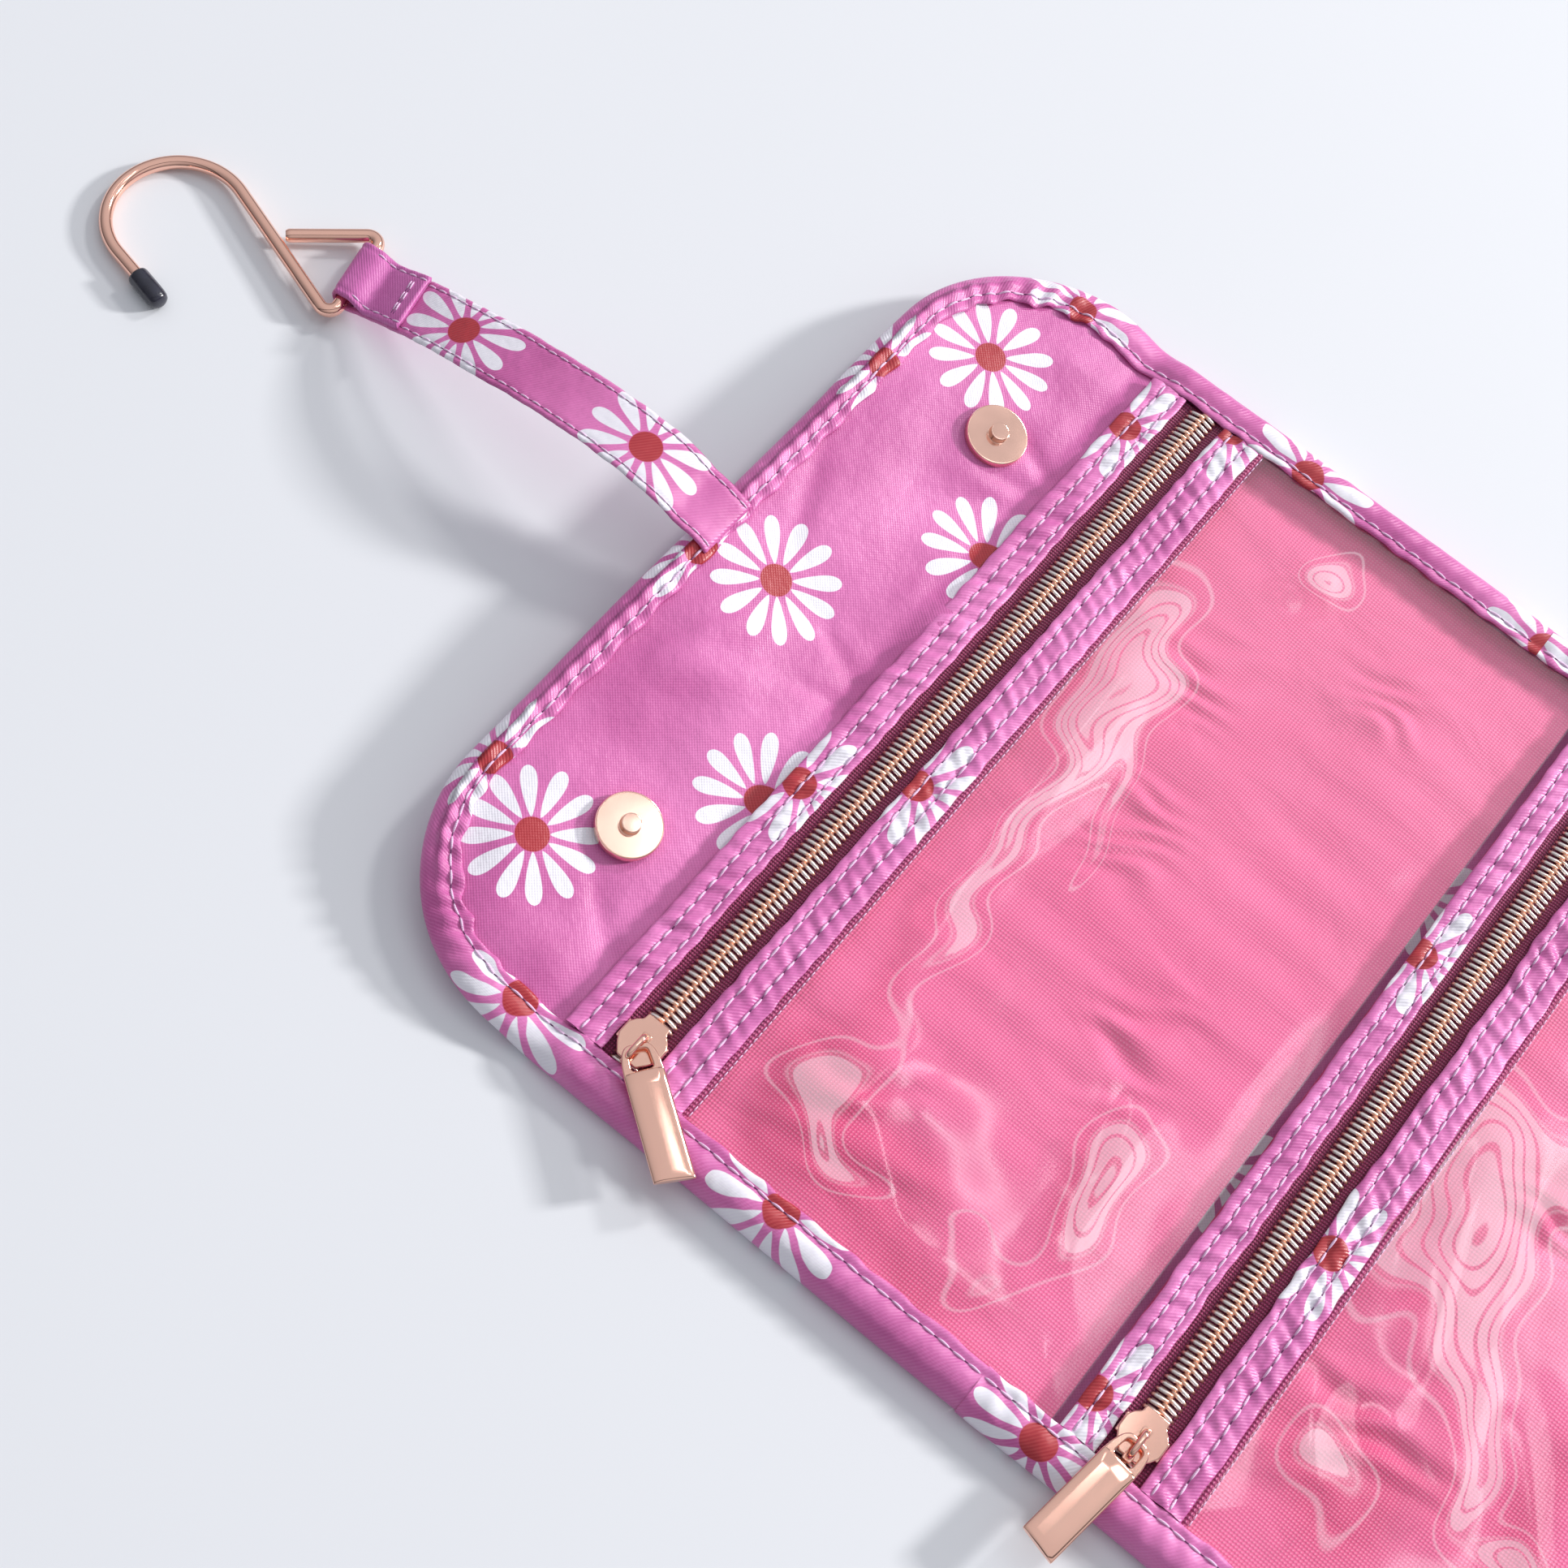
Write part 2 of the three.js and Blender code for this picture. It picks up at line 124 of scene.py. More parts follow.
def bell(x, y, place, power=2):
    """A soft ellipse; place is x, y, length, width, turn and height."""
    cx, cy, long, wide, turn, high = place
    a = (x - cx) * math.cos(turn) + (y - cy) * math.sin(turn)
    b = -(x - cx) * math.sin(turn) + (y - cy) * math.cos(turn)
    return high * np.exp(-((a / long) ** power) - (b / wide) ** 2)


def grid(x, y, z):
    return np.stack(np.broadcast_arrays(x, y, z), -1)


def grid_faces(rows, columns, close_columns=False):
    """Four-sided faces between the points of a grid, row by row."""
    i = np.arange(rows - 1)[:, None] * columns
    j = np.arange(columns if close_columns else columns - 1)[None, :]
    beyond = (j + 1) % columns
    return np.stack([i + j, i + beyond, i + columns + beyond, i + columns + j], -1).reshape(-1, 4)


def mesh_object(name, points, faces, material, slot, uv=None):
    """points in millimetres, uv in millimetres of cloth."""
    data = bpy.data.meshes.new(name)
    points = np.asarray(points, float).reshape(-1, 3) * MM
    data.from_pydata(points.tolist(), [], [list(map(int, face)) for face in faces])
    if uv is not None:
        index = np.zeros(len(data.loops), np.int32)
        data.loops.foreach_get("vertex_index", index)
        corners = np.asarray(uv, float).reshape(-1, 2)[index].astype(np.float32)
        data.uv_layers.new(name="UVMap").data.foreach_set("uv", corners.ravel())
    data.polygons.foreach_set("use_smooth", [True] * len(data.polygons))
    data.update()
    obj = bpy.data.objects.new(name, data)
    bpy.context.scene.collection.objects.link(obj)
    data.materials.append(material)
    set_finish(obj, slot)
    return obj


def sheet_object(name, points, uv, material, slot, mark=None, holes=()):
    """A grid of points; mark is a value per point for the material, holes are x, y and radius."""
    rows, columns = points.shape[:2]
    faces = grid_faces(rows, columns)
    middle = points.reshape(-1, 3)[faces].mean(axis=1)
    for x, y, radius in holes:
        keep = np.hypot(middle[:, 0] - x, middle[:, 1] - y) > radius
        faces, middle = faces[keep], middle[keep]
    obj = mesh_object(name, points, faces, material, slot, uv)
    if mark is not None:
        attribute = obj.data.attributes.new("mark", "FLOAT", "POINT")
        attribute.data.foreach_set("value", mark.astype(np.float32).ravel())
    return obj


def spots(points, places, seed):
    """Sum of soft ellipses with wandering outlines, one value per point."""
    x, y = points[..., 0], points[..., 1]
    x, y = x + 3.4 * ripples(x, y, seed, 28), y + 2.1 * ripples(x, y, seed + 1, 25)
    return sum(bell(x, y, place) for place in places)


def capped(rows, count):
    """Faces of a closed bar made of rings, with both ends closed."""
    faces = grid_faces(rows, count, close_columns=True).tolist()
    last = (rows - 1) * count
    return faces + [list(range(count))[::-1], [last + i for i in range(count)]]


def tube(centre, radius, sides, frame_up=(0, 0, 1), flat=1.0):
    """Points and faces of a closed round bar along a line of points; radius per point."""
    centre = np.asarray(centre, float)
    tangent = unit(np.gradient(centre, axis=0))
    side = unit(np.cross(tangent, np.array(frame_up, float)))
    top = np.cross(side, tangent)
    angle = np.arange(sides) * 2 * PI / sides
    radius = np.broadcast_to(np.asarray(radius, float), len(centre))[:, None, None]
    across, above = np.cos(angle)[None, :, None], flat * np.sin(angle)[None, :, None]
    ring = across * side[:, None] + above * top[:, None]
    points = (centre[:, None] + radius * ring).reshape(-1, 3)
    return points, [face[::-1] for face in capped(len(centre), sides)]


def lathe(profile, sides=64):
    """A turned part; profile is radius and height."""
    r, z = np.asarray(profile, float).T[:, :, None]
    angle = np.arange(sides) * 2 * PI / sides
    points = grid(r * np.cos(angle), r * np.sin(angle), z)
    return points.reshape(-1, 3), grid_faces(len(profile), sides, close_columns=True)


def joined(parts):
    points, faces, start = [], [], 0
    for p, f in parts:
        points.append(np.asarray(p))
        faces.extend([[v + start for v in face] for face in f])
        start += len(p)
    return np.concatenate(points), faces


def spline(points, per_span=12):
    """Catmull-Rom curve through points."""
    p = np.asarray(points, float)
    p = np.vstack([p[0], p, p[-1]])
    out = []
    for i in range(1, len(p) - 2):
        t = np.linspace(0, 1, per_span, endpoint=False)[:, None]
        a, b, c, d = p[i - 1], p[i], p[i + 1], p[i + 2]
        square, cube = 2 * a - 5 * b + 4 * c - d, 3 * b - a - 3 * c + d
        out.append(0.5 * (2 * b + (c - a) * t + square * t**2 + cube * t**3))
    return np.vstack([*out, p[-1:]])


def even(line, step):
    """The same line with points at equal distances."""
    line = np.asarray(line, float)
    run = np.concatenate([[0], np.cumsum(np.linalg.norm(np.diff(line, axis=0), axis=1))])
    at = np.linspace(0, run[-1], max(2, int(round(run[-1] / step)) + 1))
    return np.stack([np.interp(at, run, line[:, k]) for k in range(line.shape[1])], 1), at


def plate(outlines, low, high, bevel):
    """A plate with rounded edges and holes, from 2-D outlines in millimetres."""
    curve = bpy.data.curves.new("outline", "CURVE")
    curve.dimensions, curve.fill_mode = "2D", "BOTH"
    for outline in outlines:
        line = curve.splines.new("POLY")
        line.points.add(len(outline) - 1)
        line.points.foreach_set("co", np.array([(x, y, 0, 1) for x, y in outline], float).ravel())
        line.use_cyclic_u = True
    curve.extrude = (high - low) / 2 - bevel
    curve.bevel_depth, curve.bevel_resolution, curve.offset = bevel, 3, -bevel
    temporary = bpy.data.objects.new("outline", curve)
    bpy.context.scene.collection.objects.link(temporary)
    bpy.context.view_layer.update()
    data = bpy.data.meshes.new_from_object(temporary)
    points = np.zeros(len(data.vertices) * 3)
    data.vertices.foreach_get("co", points)
    points = points.reshape(-1, 3) + (0, 0, (low + high) / 2)
    faces = [list(p.vertices) for p in data.polygons]
    bpy.data.objects.remove(temporary)
    bpy.data.meshes.remove(data)
    return points, faces


def stand_in(obj, body, *nodes):
    """The piece rides on a body and stands for CAD nodes."""
    if nodes:
        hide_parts(*nodes)
    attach(obj, body)


def metal_piece(name, shape, material, body, *nodes):
    """A piece shaded smooth, with its sharp edges kept."""
    obj = mesh_object(name, *shape, material, "rose_gold")
    obj.data.set_sharp_from_angle(angle=math.radians(34))
    stand_in(obj, body, *nodes)


# ---------------------------------------------------------------- node helpers
class Value:
    """An output socket that can stand in a formula, which then makes its own Math nodes."""

    def __init__(self, graph, socket):
        self.graph, self.socket = graph, socket

    def __add__(self, other):
        return self.graph.math("ADD", self, other)

    def __mul__(self, other):
        return self.graph.math("MULTIPLY", self, other)

    def __sub__(self, other):
        return self.graph.math("SUBTRACT", self, other)

    def __rsub__(self, other):
        return self.graph.math("SUBTRACT", other, self)

    def __truediv__(self, other):
        return self.graph.math("DIVIDE", self, other)

    def __pow__(self, other):
        return self.graph.math("POWER", self, other)

    def __abs__(self):
        return self.graph.math("ABSOLUTE", self)


class Graph:
    """Short names for building shader nodes."""

    def __init__(self, tree):
        self.tree = tree

    def node(self, kind, **settings):
        made = self.tree.nodes.new(kind)
        for key, value in settings.items():
            setattr(made, key, value)
        return made

    def value(self, made, output=0):
        return Value(self, made.outputs[output])

    def link(self, source, target):
        if isinstance(source, (int, float, tuple)):
            target.default_value = source
        else:
            self.tree.links.new(getattr(source, "socket", source), target)

    def linked(self, kind, sources, output=0, **settings):
        """A new node with its first inputs linked or set; gives one of its outputs."""
        made = self.node(kind, **settings)
        for source, target in zip(sources, made.inputs):
            self.link(source, target)
        return self.value(made, output)

    def math(self, operation, *values):
        return self.linked("ShaderNodeMath", values, operation=operation)

    def sine(self, value, wavelength=2 * PI):
        return self.math("SINE", value * (2 * PI / wavelength))

    def root(self, value):
        return self.math("SQRT", value)

    def vector(self, operation, *values):
        output = "Value" if operation == "DOT_PRODUCT" else 0
        return self.linked("ShaderNodeVectorMath", values, output, operation=operation)

    def scaled(self, vector, scale):
        return self.vector("MULTIPLY", vector, (scale, scale, scale))

    def xyz(self, vector):
        made = self.node("ShaderNodeSeparateXYZ")
        self.link(vector, made.inputs[0])
        return [self.value(made, i) for i in range(3)]

    def ramp(self, value, low, high, to_low=0.0, to_high=1.0):
        values = (value, low, high, to_low, to_high)
        return self.linked("ShaderNodeMapRange", values, interpolation_type="SMOOTHSTEP")

    def mix(self, factor, a, b):
        made = self.node("ShaderNodeMix", data_type="RGBA")
        for source, target in ((factor, 0), (a, 6), (b, 7)):
            self.link(source, made.inputs[target])
        return self.value(made, 2)

    def noise(self, where, scale, detail=2.0, roughness=0.5, distortion=0.0):
        made = self.node("ShaderNodeTexNoise")
        self.link(where, made.inputs["Vector"])
        set_inputs(made, {"Scale": scale, "Detail": detail, "Roughness": roughness, "Distortion": distortion})
        return self.value(made, "Fac")

    def bump(self, height, strength, distance, normal=None):
        made = self.node("ShaderNodeBump")
        set_inputs(made, {"Strength": strength, "Distance": distance})
        self.link(height, made.inputs["Height"])
        if normal is not None:
            self.link(normal, made.inputs["Normal"])
        return self.value(made)

    def uv(self):
        """Place on the cloth, in millimetres."""
        return self.value(self.node("ShaderNodeUVMap", uv_map="UVMap"))

    def place(self):
        """Place on the object, in metres."""
        return self.value(self.node("ShaderNodeTexCoord"), "Object")

    def mark(self):
        return self.value(self.node("ShaderNodeAttribute", attribute_name="mark"), "Fac")


def set_inputs(node, values):
    for name, value in values.items():
        node.inputs[name].default_value = value


def colour(r, g, b):
    """A linear colour from the 0 to 255 values of a picture."""
    line = [c / 255 / 12.92 if c <= 10 else ((c / 255 + 0.055) / 1.055) ** 2.4 for c in (r, g, b)]
    return (*line, 1.0)


def new_material(name):
    material = bpy.data.materials.new(name)
    material.use_nodes = True
    return material, Graph(material.node_tree), material.node_tree.nodes["Principled BSDF"]


# ---------------------------------------------------------------- materials
PETALS = 12
PETAL_ROOT = 3.4  # from the flower's middle, in millimetres
PETAL_TIP = 13.8
PETAL_HALF_WIDTH = 2.5
CENTRE_R = 3.4


def daisy_group():
    """Vector from the flower's middle, in millimetres, to masks of its even petals and its round centre."""
    tree = bpy.data.node_groups.new("Daisy", "ShaderNodeTree")
    for name, kind in (("Vector", "Vector"), ("Turn", "Float"), ("Seed", "Float")):
        tree.interface.new_socket(name, in_out="INPUT", socket_type=f"NodeSocket{kind}")
    for name in ("Petal", "Centre"):
        tree.interface.new_socket(name, in_out="OUTPUT", socket_type="NodeSocketFloat")
    g = Graph(tree)
    start, end = g.node("NodeGroupInput"), g.node("NodeGroupOutput")
    turned = g.node("ShaderNodeVectorRotate", rotation_type="Z_AXIS")
    g.link(start.outputs["Vector"], turned.inputs["Vector"])
    g.link(start.outputs["Turn"], turned.inputs["Angle"])
    x, y, _ = g.xyz(turned.outputs[0])
    r = g.root(x * x + y * y)
    sector = (g.math("ARCTAN2", y, x) + PI) * (PETALS / (2 * PI))
    number = g.math("FLOOR", sector)
    where = g.linked("ShaderNodeCombineXYZ", (number, start.outputs["Seed"]))
    a, b, c = g.xyz(g.linked("ShaderNodeTexWhiteNoise", (where,), "Color", noise_dimensions="2D"))
    tip, root = a * 0.8 + PETAL_TIP, c * 0.4 + PETAL_ROOT
    off_middle = sector - number - 0.5 - (b * 0.08 - 0.04)
    across = abs(r * (off_middle * (2 * PI / PETALS)))
    t = g.math("MAXIMUM", g.math("MINIMUM", (r - root) / (tip - root), 1.0), 0.0)
    half = t**0.62 * g.root(1.0 - t**5.0) * PETAL_HALF_WIDTH
    g.link(g.ramp(half - across, 0.0, 0.22), end.inputs["Petal"])
    g.link(g.ramp(r, CENTRE_R + 0.25, CENTRE_R), end.inputs["Centre"])
    return tree


def print_masks(g, where, cell, daisies):
    """Masks of the petals and the centres of a repeat; daisies are (x, y, turn)."""
    masks = [None, None]
    for i, (x, y, turn) in enumerate(daisies):
        corner = (cell[0] / 2, cell[1] / 2, 1)
        local = g.vector("SUBTRACT", where, (x, y, 0))
        flower = g.node("ShaderNodeGroup", node_tree=DAISY)
        g.link(g.vector("WRAP", local, corner, tuple(-c for c in corner)), flower.inputs["Vector"])
        set_inputs(flower, {"Turn": turn, "Seed": 3.0 + 7.1 * i})
        for k, name in enumerate(("Petal", "Centre")):
            mask = flower.outputs[name]
            masks[k] = mask if masks[k] is None else g.math("MAXIMUM", masks[k], mask)
    return masks


def print_material(name, cell, daisies, twill=True, tint=(203, 94, 163)):
    """Printed polyester: daisies on orchid pink over a fine weave."""
    material, g, shader = new_material(name)
    uv = g.uv()
    u, v, _ = g.xyz(uv)
    petals, centres = print_masks(g, uv, cell, daisies)
    if twill:
        weave = g.sine(u * 0.8 + v * 0.6, 0.62) + g.sine(v, 0.3) * 0.3
    else:
        weave = g.sine(u, 0.76) * g.sine(v, 0.76)
    # Slow noise between a darker and a lighter pink: partly random dye tone, partly painted soft shading of
    # the cloth's folds
    drift = g.ramp(g.noise(g.scaled(uv, 0.028), 1.0, 3.0), 0.3, 0.7)
    thread = g.noise(g.vector("MULTIPLY", uv, (0.9, 7.0, 1.0)), 1.0, 1.0)
    dark, light = ([t + add for t, add in zip(tint, step)] for step in ((-8, -10, -10), (22, 26, 22)))
    ground = g.mix(drift, colour(*dark), colour(*light))
    ground = g.mix(g.ramp(weave, -1.0, 1.0, 0.0, 0.16), ground, colour(246, 160, 226))
    ground = g.mix(g.ramp(thread, 0.35, 0.7, 0.0, 0.14), ground, colour(150, 48, 118))
    white = g.mix(g.ramp(weave, -1.0, 1.0, 0.0, 0.12), colour(241, 238, 247), colour(226, 210, 236))
    red = g.mix(g.ramp(weave, -1.0, 1.0, 0.0, 0.3), colour(168, 30, 44), colour(205, 84, 84))
    g.link(g.mix(centres, g.mix(petals, ground, white), red), shader.inputs["Base Color"])
    normal = g.bump(g.noise(g.scaled(uv, 0.16), 1.0, 3.0, 0.55), 0.35, 0.0012)
    g.link(g.bump(weave, 0.22, 0.00012, normal), shader.inputs["Normal"])
    set_inputs(shader, {"Roughness": 0.38, "Specular IOR Level": 0.6, "Anisotropic": 0.3})
    set_inputs(shader, {"Sheen Weight": 0.35, "Sheen Roughness": 0.35, "Sheen Tint": colour(255, 190, 240)})
    return material


def lining_material():
    """Pink oxford with the coating's light dots between its threads."""
    material, g, shader = new_material("Lining oxford")
    uv = g.uv()
    u, v, _ = g.xyz(uv)
    weave = g.sine(u + v, 1.44) * g.sine(u - v, 1.44)
    drift = g.noise(g.scaled(uv, 0.03), 1.0, 3.0)
    base = g.mix(drift, colour(240, 88, 148), colour(250, 112, 166))
    # Painted shade: the marked spots are drawn a darker, deeper pink
    base = g.mix(g.ramp(g.mark(), 0.15, 1.0, 0.0, 0.8), base, colour(212, 44, 112))
    base = g.mix(g.ramp(weave, 0.25, 0.9, 0.0, 0.4), base, colour(255, 190, 218))
    g.link(base, shader.inputs["Base Color"])
    crease = g.noise(g.vector("MULTIPLY", uv, (0.08, 0.04, 1.0)), 1.0, 3.0, 0.5, 0.6)
    g.link(g.bump(weave, 0.3, 0.0002, g.bump(crease, 0.3, 0.002)), shader.inputs["Normal"])
    set_inputs(shader, {"Roughness": 0.55, "Sheen Weight": 0.25})
    set_inputs(shader, {"Sheen Roughness": 0.4, "Sheen Tint": colour(255, 190, 215)})
    return material


def film_material():
    """Clear vinyl: mirrors a little at its surface, with a faint white veil, and painted reflections drawn in
    a white diffuse layer round the marked spots.
    """
    material, g, shader = new_material("Clear vinyl")
    out = next(n for n in g.tree.nodes if n.type == "OUTPUT_MATERIAL")
    g.tree.nodes.remove(shader)
    uv, mark = g.uv(), g.mark()
    clear, white_diffuse_bsdf = g.node("ShaderNodeBsdfTransparent"), g.node("ShaderNodeBsdfDiffuse")
    gloss = g.node("ShaderNodeBsdfGlossy")
    set_inputs(clear, {"Color": (1.0, 0.99, 0.995, 1)})
    set_inputs(white_diffuse_bsdf, {"Color": (1.0, 0.92, 0.96, 1)})
    set_inputs(gloss, {"Color": (1, 0.985, 1, 1), "Roughness": 0.1})
    facing = g.value(g.node("ShaderNodeLayerWeight"), "Facing")
    mirror = facing**4.0 * 0.3 + 0.062
    cloud = g.noise(g.scaled(uv, 0.02), 1.0, 3.0)
    veil = g.ramp(g.xyz(uv)[0] * 0.004 + cloud, 0.25, 0.9, 0.0, 0.05)
    # Painted reflections: round the marked spots the white diffuse layer draws milky patches (body), nested
    # outline lines (lines) and a thin rim, standing for mirrored lamps
    body = g.ramp(mark, 0.42, 0.52, 0.0, 0.34)
    lines = g.ramp(g.sine(mark * 41.0), 0.55, 0.95, 1.0, 0.25)
    glare_rim = g.ramp(mark, 0.24, 0.27) * g.ramp(mark, 0.31, 0.28)
    veil_and_glare = veil + (glare_rim * 0.22 + body * lines)
    seen_through = g.linked("ShaderNodeMixShader", (veil_and_glare, clear.outputs[0], white_diffuse_bsdf.outputs[0]))
    mixed = g.linked("ShaderNodeMixShader", (mirror, seen_through, gloss.outputs[0]))
    g.link(mixed, out.inputs["Surface"])
    return material


def metal_material(name, base, roughness, scratch=0.06):
    material, g, shader = new_material(name)
    where = g.place()
    cloud = g.noise(where, 90.0, 3.0)
    fine = g.noise(g.vector("MULTIPLY", where, (900.0, 6000.0, 3000.0)), 1.0, 2.0)
    light = tuple(min(1.0, c * 1.1) for c in base[:3]) + (1.0,)
    g.link(g.mix(cloud, base, light), shader.inputs["Base Color"])
    g.link(g.ramp(cloud, 0.3, 0.75, roughness * 0.8, roughness * 1.35), shader.inputs["Roughness"])
    g.link(g.bump(fine, scratch, 0.00003), shader.inputs["Normal"])
    set_inputs(shader, {"Metallic": 1.0, "Coat Weight": 0.15, "Coat Roughness": 0.05})
    return material


def coil_material():
    """Coil wire: silvery along its legs, rose gold at the heads and the outer turns."""
    material, g, shader = new_material("Coil wire")
    uv = g.uv()
    away = abs(g.xyz(uv)[1])
    cloud = g.noise(uv, 1.6, 3.0)
    ends = g.math("MAXIMUM", g.ramp(away, 1.25, 0.55), g.ramp(away, 2.35, 2.85))
    rose = ends * g.ramp(cloud, 0.2, 0.6, 0.6, 1.0)
    g.link(g.mix(rose, colour(246, 236, 232), colour(255, 204, 178)), shader.inputs["Base Color"])
    g.link(g.bump(cloud, 0.15, 0.00005), shader.inputs["Normal"])
    g.link(g.ramp(cloud, 0.3, 0.7, 0.24, 0.4), shader.inputs["Roughness"])
    set_inputs(shader, {"Metallic": 1.0})
    return material


def thread_material(name, dark, light):
    """Twisted sewing thread."""
    material, g, shader = new_material(name)
    where = g.place()
    x, y, z = g.xyz(g.scaled(where, 1000.0))
    twist = g.sine(x + (y + z), 0.45)
    base = g.mix(g.ramp(twist, -1.0, 1.0), dark, light)
    g.link(g.mix(g.noise(where, 300.0) * 0.35, base, dark), shader.inputs["Base Color"])
    g.link(g.bump(twist, 0.4, 0.00008), shader.inputs["Normal"])
    set_inputs(shader, {"Roughness": 0.5, "Sheen Weight": 0.3})
    return material


def tape_material(name, dark, light, pitch):
    """Woven zip tape: ribs across and fine threads along."""
    material, g, shader = new_material(name)
    uv = g.uv()
    u, v, _ = g.xyz(uv)
    weave = (g.sine(u, pitch) + 1.0) * (g.sine(v, 0.55) + 1.4)
    base = g.mix(g.ramp(weave, 0.2, 3.6), dark, light)
    g.link(g.mix(g.noise(g.scaled(uv, 0.5), 1.0) * 0.4, base, dark), shader.inputs["Base Color"])
    g.link(g.bump(weave, 0.6, 0.00025), shader.inputs["Normal"])
    set_inputs(shader, {"Roughness": 0.7, "Sheen Weight": 0.3})
    return material


def rubber_material():
    material, g, shader = new_material("Tip rubber")
    cloud = g.noise(g.place(), 500.0, 3.0)
    g.link(g.mix(cloud, colour(20, 20, 32), colour(44, 44, 62)), shader.inputs["Base Color"])
    g.link(g.ramp(cloud, 0.3, 0.7, 0.2, 0.36), shader.inputs["Roughness"])
    g.link(g.bump(cloud, 0.12, 0.0002), shader.inputs["Normal"])
    set_inputs(shader, {"Coat Weight": 0.4, "Coat Roughness": 0.15})
    return material


DAISY = daisy_group()
# Each print has the size of its repeat and the daisies in it, in millimetres
FLAP_PRINT = print_material("Flap print", (76, 56), [(0, 42, 0), (38, 14, 0.26)], twill=False)
BAND_PRINT = print_material("Band print", (118, 60), [(0, 0, 0), (59, 0, 0.26)])
STRIP_PRINT = print_material("Strip print", (115, 60), [(0, 0, 0), (57.5, 30, 0.26)], tint=(212, 104, 174))
STRAP_PRINT = print_material("Strap print", (99, 60), [(0, 0, 0), (49.5, 0, 0.26)])
STRAP_PLAIN = print_material("Strap reverse", (400, 400), [(190, 190, 0)], tint=(196, 92, 166))
LINING = lining_material()
FILM = film_material()
ROSE = metal_material("Rose gold", colour(252, 196, 176), 0.1, 0.02)
SNAP_METAL = metal_material("Snap rose gold", colour(242, 196, 178), 0.16, 0.02)
COIL = coil_material()
COIL_BACK = metal_material("Coil underside", colour(182, 146, 138), 0.35)
THREAD = thread_material("Lilac thread", colour(222, 176, 218), colour(250, 226, 248))
# Dark thread for the painted shade between stitches
THREAD_HOLE_SHADE = thread_material("Painted thread-hole shade", colour(84, 28, 84), colour(140, 66, 128))
TAPE = tape_material("Burgundy tape", colour(112, 10, 62), colour(190, 52, 118), 0.7)
SELVEDGE = tape_material("Ribbed selvedge", colour(168, 44, 104), colour(232, 120, 172), 0.9)
RUBBER = rubber_material()


# ---------------------------------------------------------------- the flap's bend
def rise(x, y):
    """The flap's soft arch: its middle stands up and its corners droop."""
    return smooth((y - 20) / 42) * (2.2 - 4.9 * (x / 95) ** 2)


def bent(points):
    """From the bag's flat layout to how it lies, with the flap lifted about its fold."""
    points = np.asarray(points, float)
    x, y, z = points[..., 0], points[..., 1], points[..., 2]
    angle = FLAP_LIFT * smooth((y - 9) / 12)
    dy, dz = y - FLAP_AXIS[0], z + rise(x, y) - FLAP_AXIS[1]
    c, s = np.cos(angle), np.sin(angle)
    return np.stack([x, FLAP_AXIS[0] + dy * c - dz * s, FLAP_AXIS[1] + dy * s + dz * c], -1)


def half_width(y, inset):
    """Half the bag's width at y, inset from the outer edge, with both round ends."""
    upper = FLAP_END - CORNER_R
    lower = PANEL_2_END + CORNER_R
    into = np.maximum(np.maximum(y - upper, lower - y), 0)
    r = CORNER_R - inset
    return HALF_WIDTH - CORNER_R + np.sqrt(np.maximum(r * r - np.minimum(into, r) ** 2, 0))


def cloth_grid(y0, y1, inset, height, columns=150, step=1.5):
    """Rows across the bag from y0 to y1; height is a function of x and y."""
    y = np.linspace(y0, y1, int(abs(y1 - y0) / step) + 1)[:, None]
    x = np.linspace(-1, 1, columns) * half_width(y, inset)
    return grid(x, y, height(x, y))


def cut_area(y0, y1, inset):
    """Flat area, in square metres, of cloth cut to the bag's outline between two lines across it."""
    mean_width = 2 * half_width(np.linspace(y0, y1, 2000), inset).mean()
    return float(mean_width * abs(y1 - y0)) * MM * MM


# ---------------------------------------------------------------- outer cloth, flap and linings
def outer_height(x, y):
    on_flap = smooth((y - 14) / 8)
    return 0.3 + 0.12 * (1 + ripples(x, y, 5, 34)) * (1 - on_flap) + on_flap * 0.25


upper = bent(cloth_grid(MID_PANEL, FLAP_END - OUTER_INSET, OUTER_INSET, outer_height))
outer_upper = sheet_object("outer_cloth_upper", upper, upper[..., :2], FLAP_PRINT, "printed_fabric")
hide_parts("panel_1_back", "flap_back")
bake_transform(outer_upper)

lower = cloth_grid(PANEL_2_END + OUTER_INSET, MID_PANEL, OUTER_INSET, outer_height)
outer_lower = sheet_object(
    "outer_cloth_lower", lower, lower[..., :2], FLAP_PRINT, "printed_fabric", holes=SNAP_HOLES
)
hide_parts("panel_2_back")
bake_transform(outer_lower)


# Dents in the flap's front: x, y, length, width, turn and depth
PINCHES = [
    (56, 20, 8, 2.2, 1.9, 0.9), (64, 19, 7, 2.0, 1.3, 0.7), (48, 22, 9, 2.4, 2.3, 0.6),
    (-2, 22, 8, 2.2, 1.2, 0.7), (-12, 20, 7, 2.0, 1.9, 0.6), (20, 50, 12, 2.6, 0.4, 0.8),
    (-24, 50, 13, 2.6, -0.5, 0.8), (-78, 22, 10, 2.4, 0.9, 0.7),
]
FRONT_Y = (11.5, FLAP_END - 4)


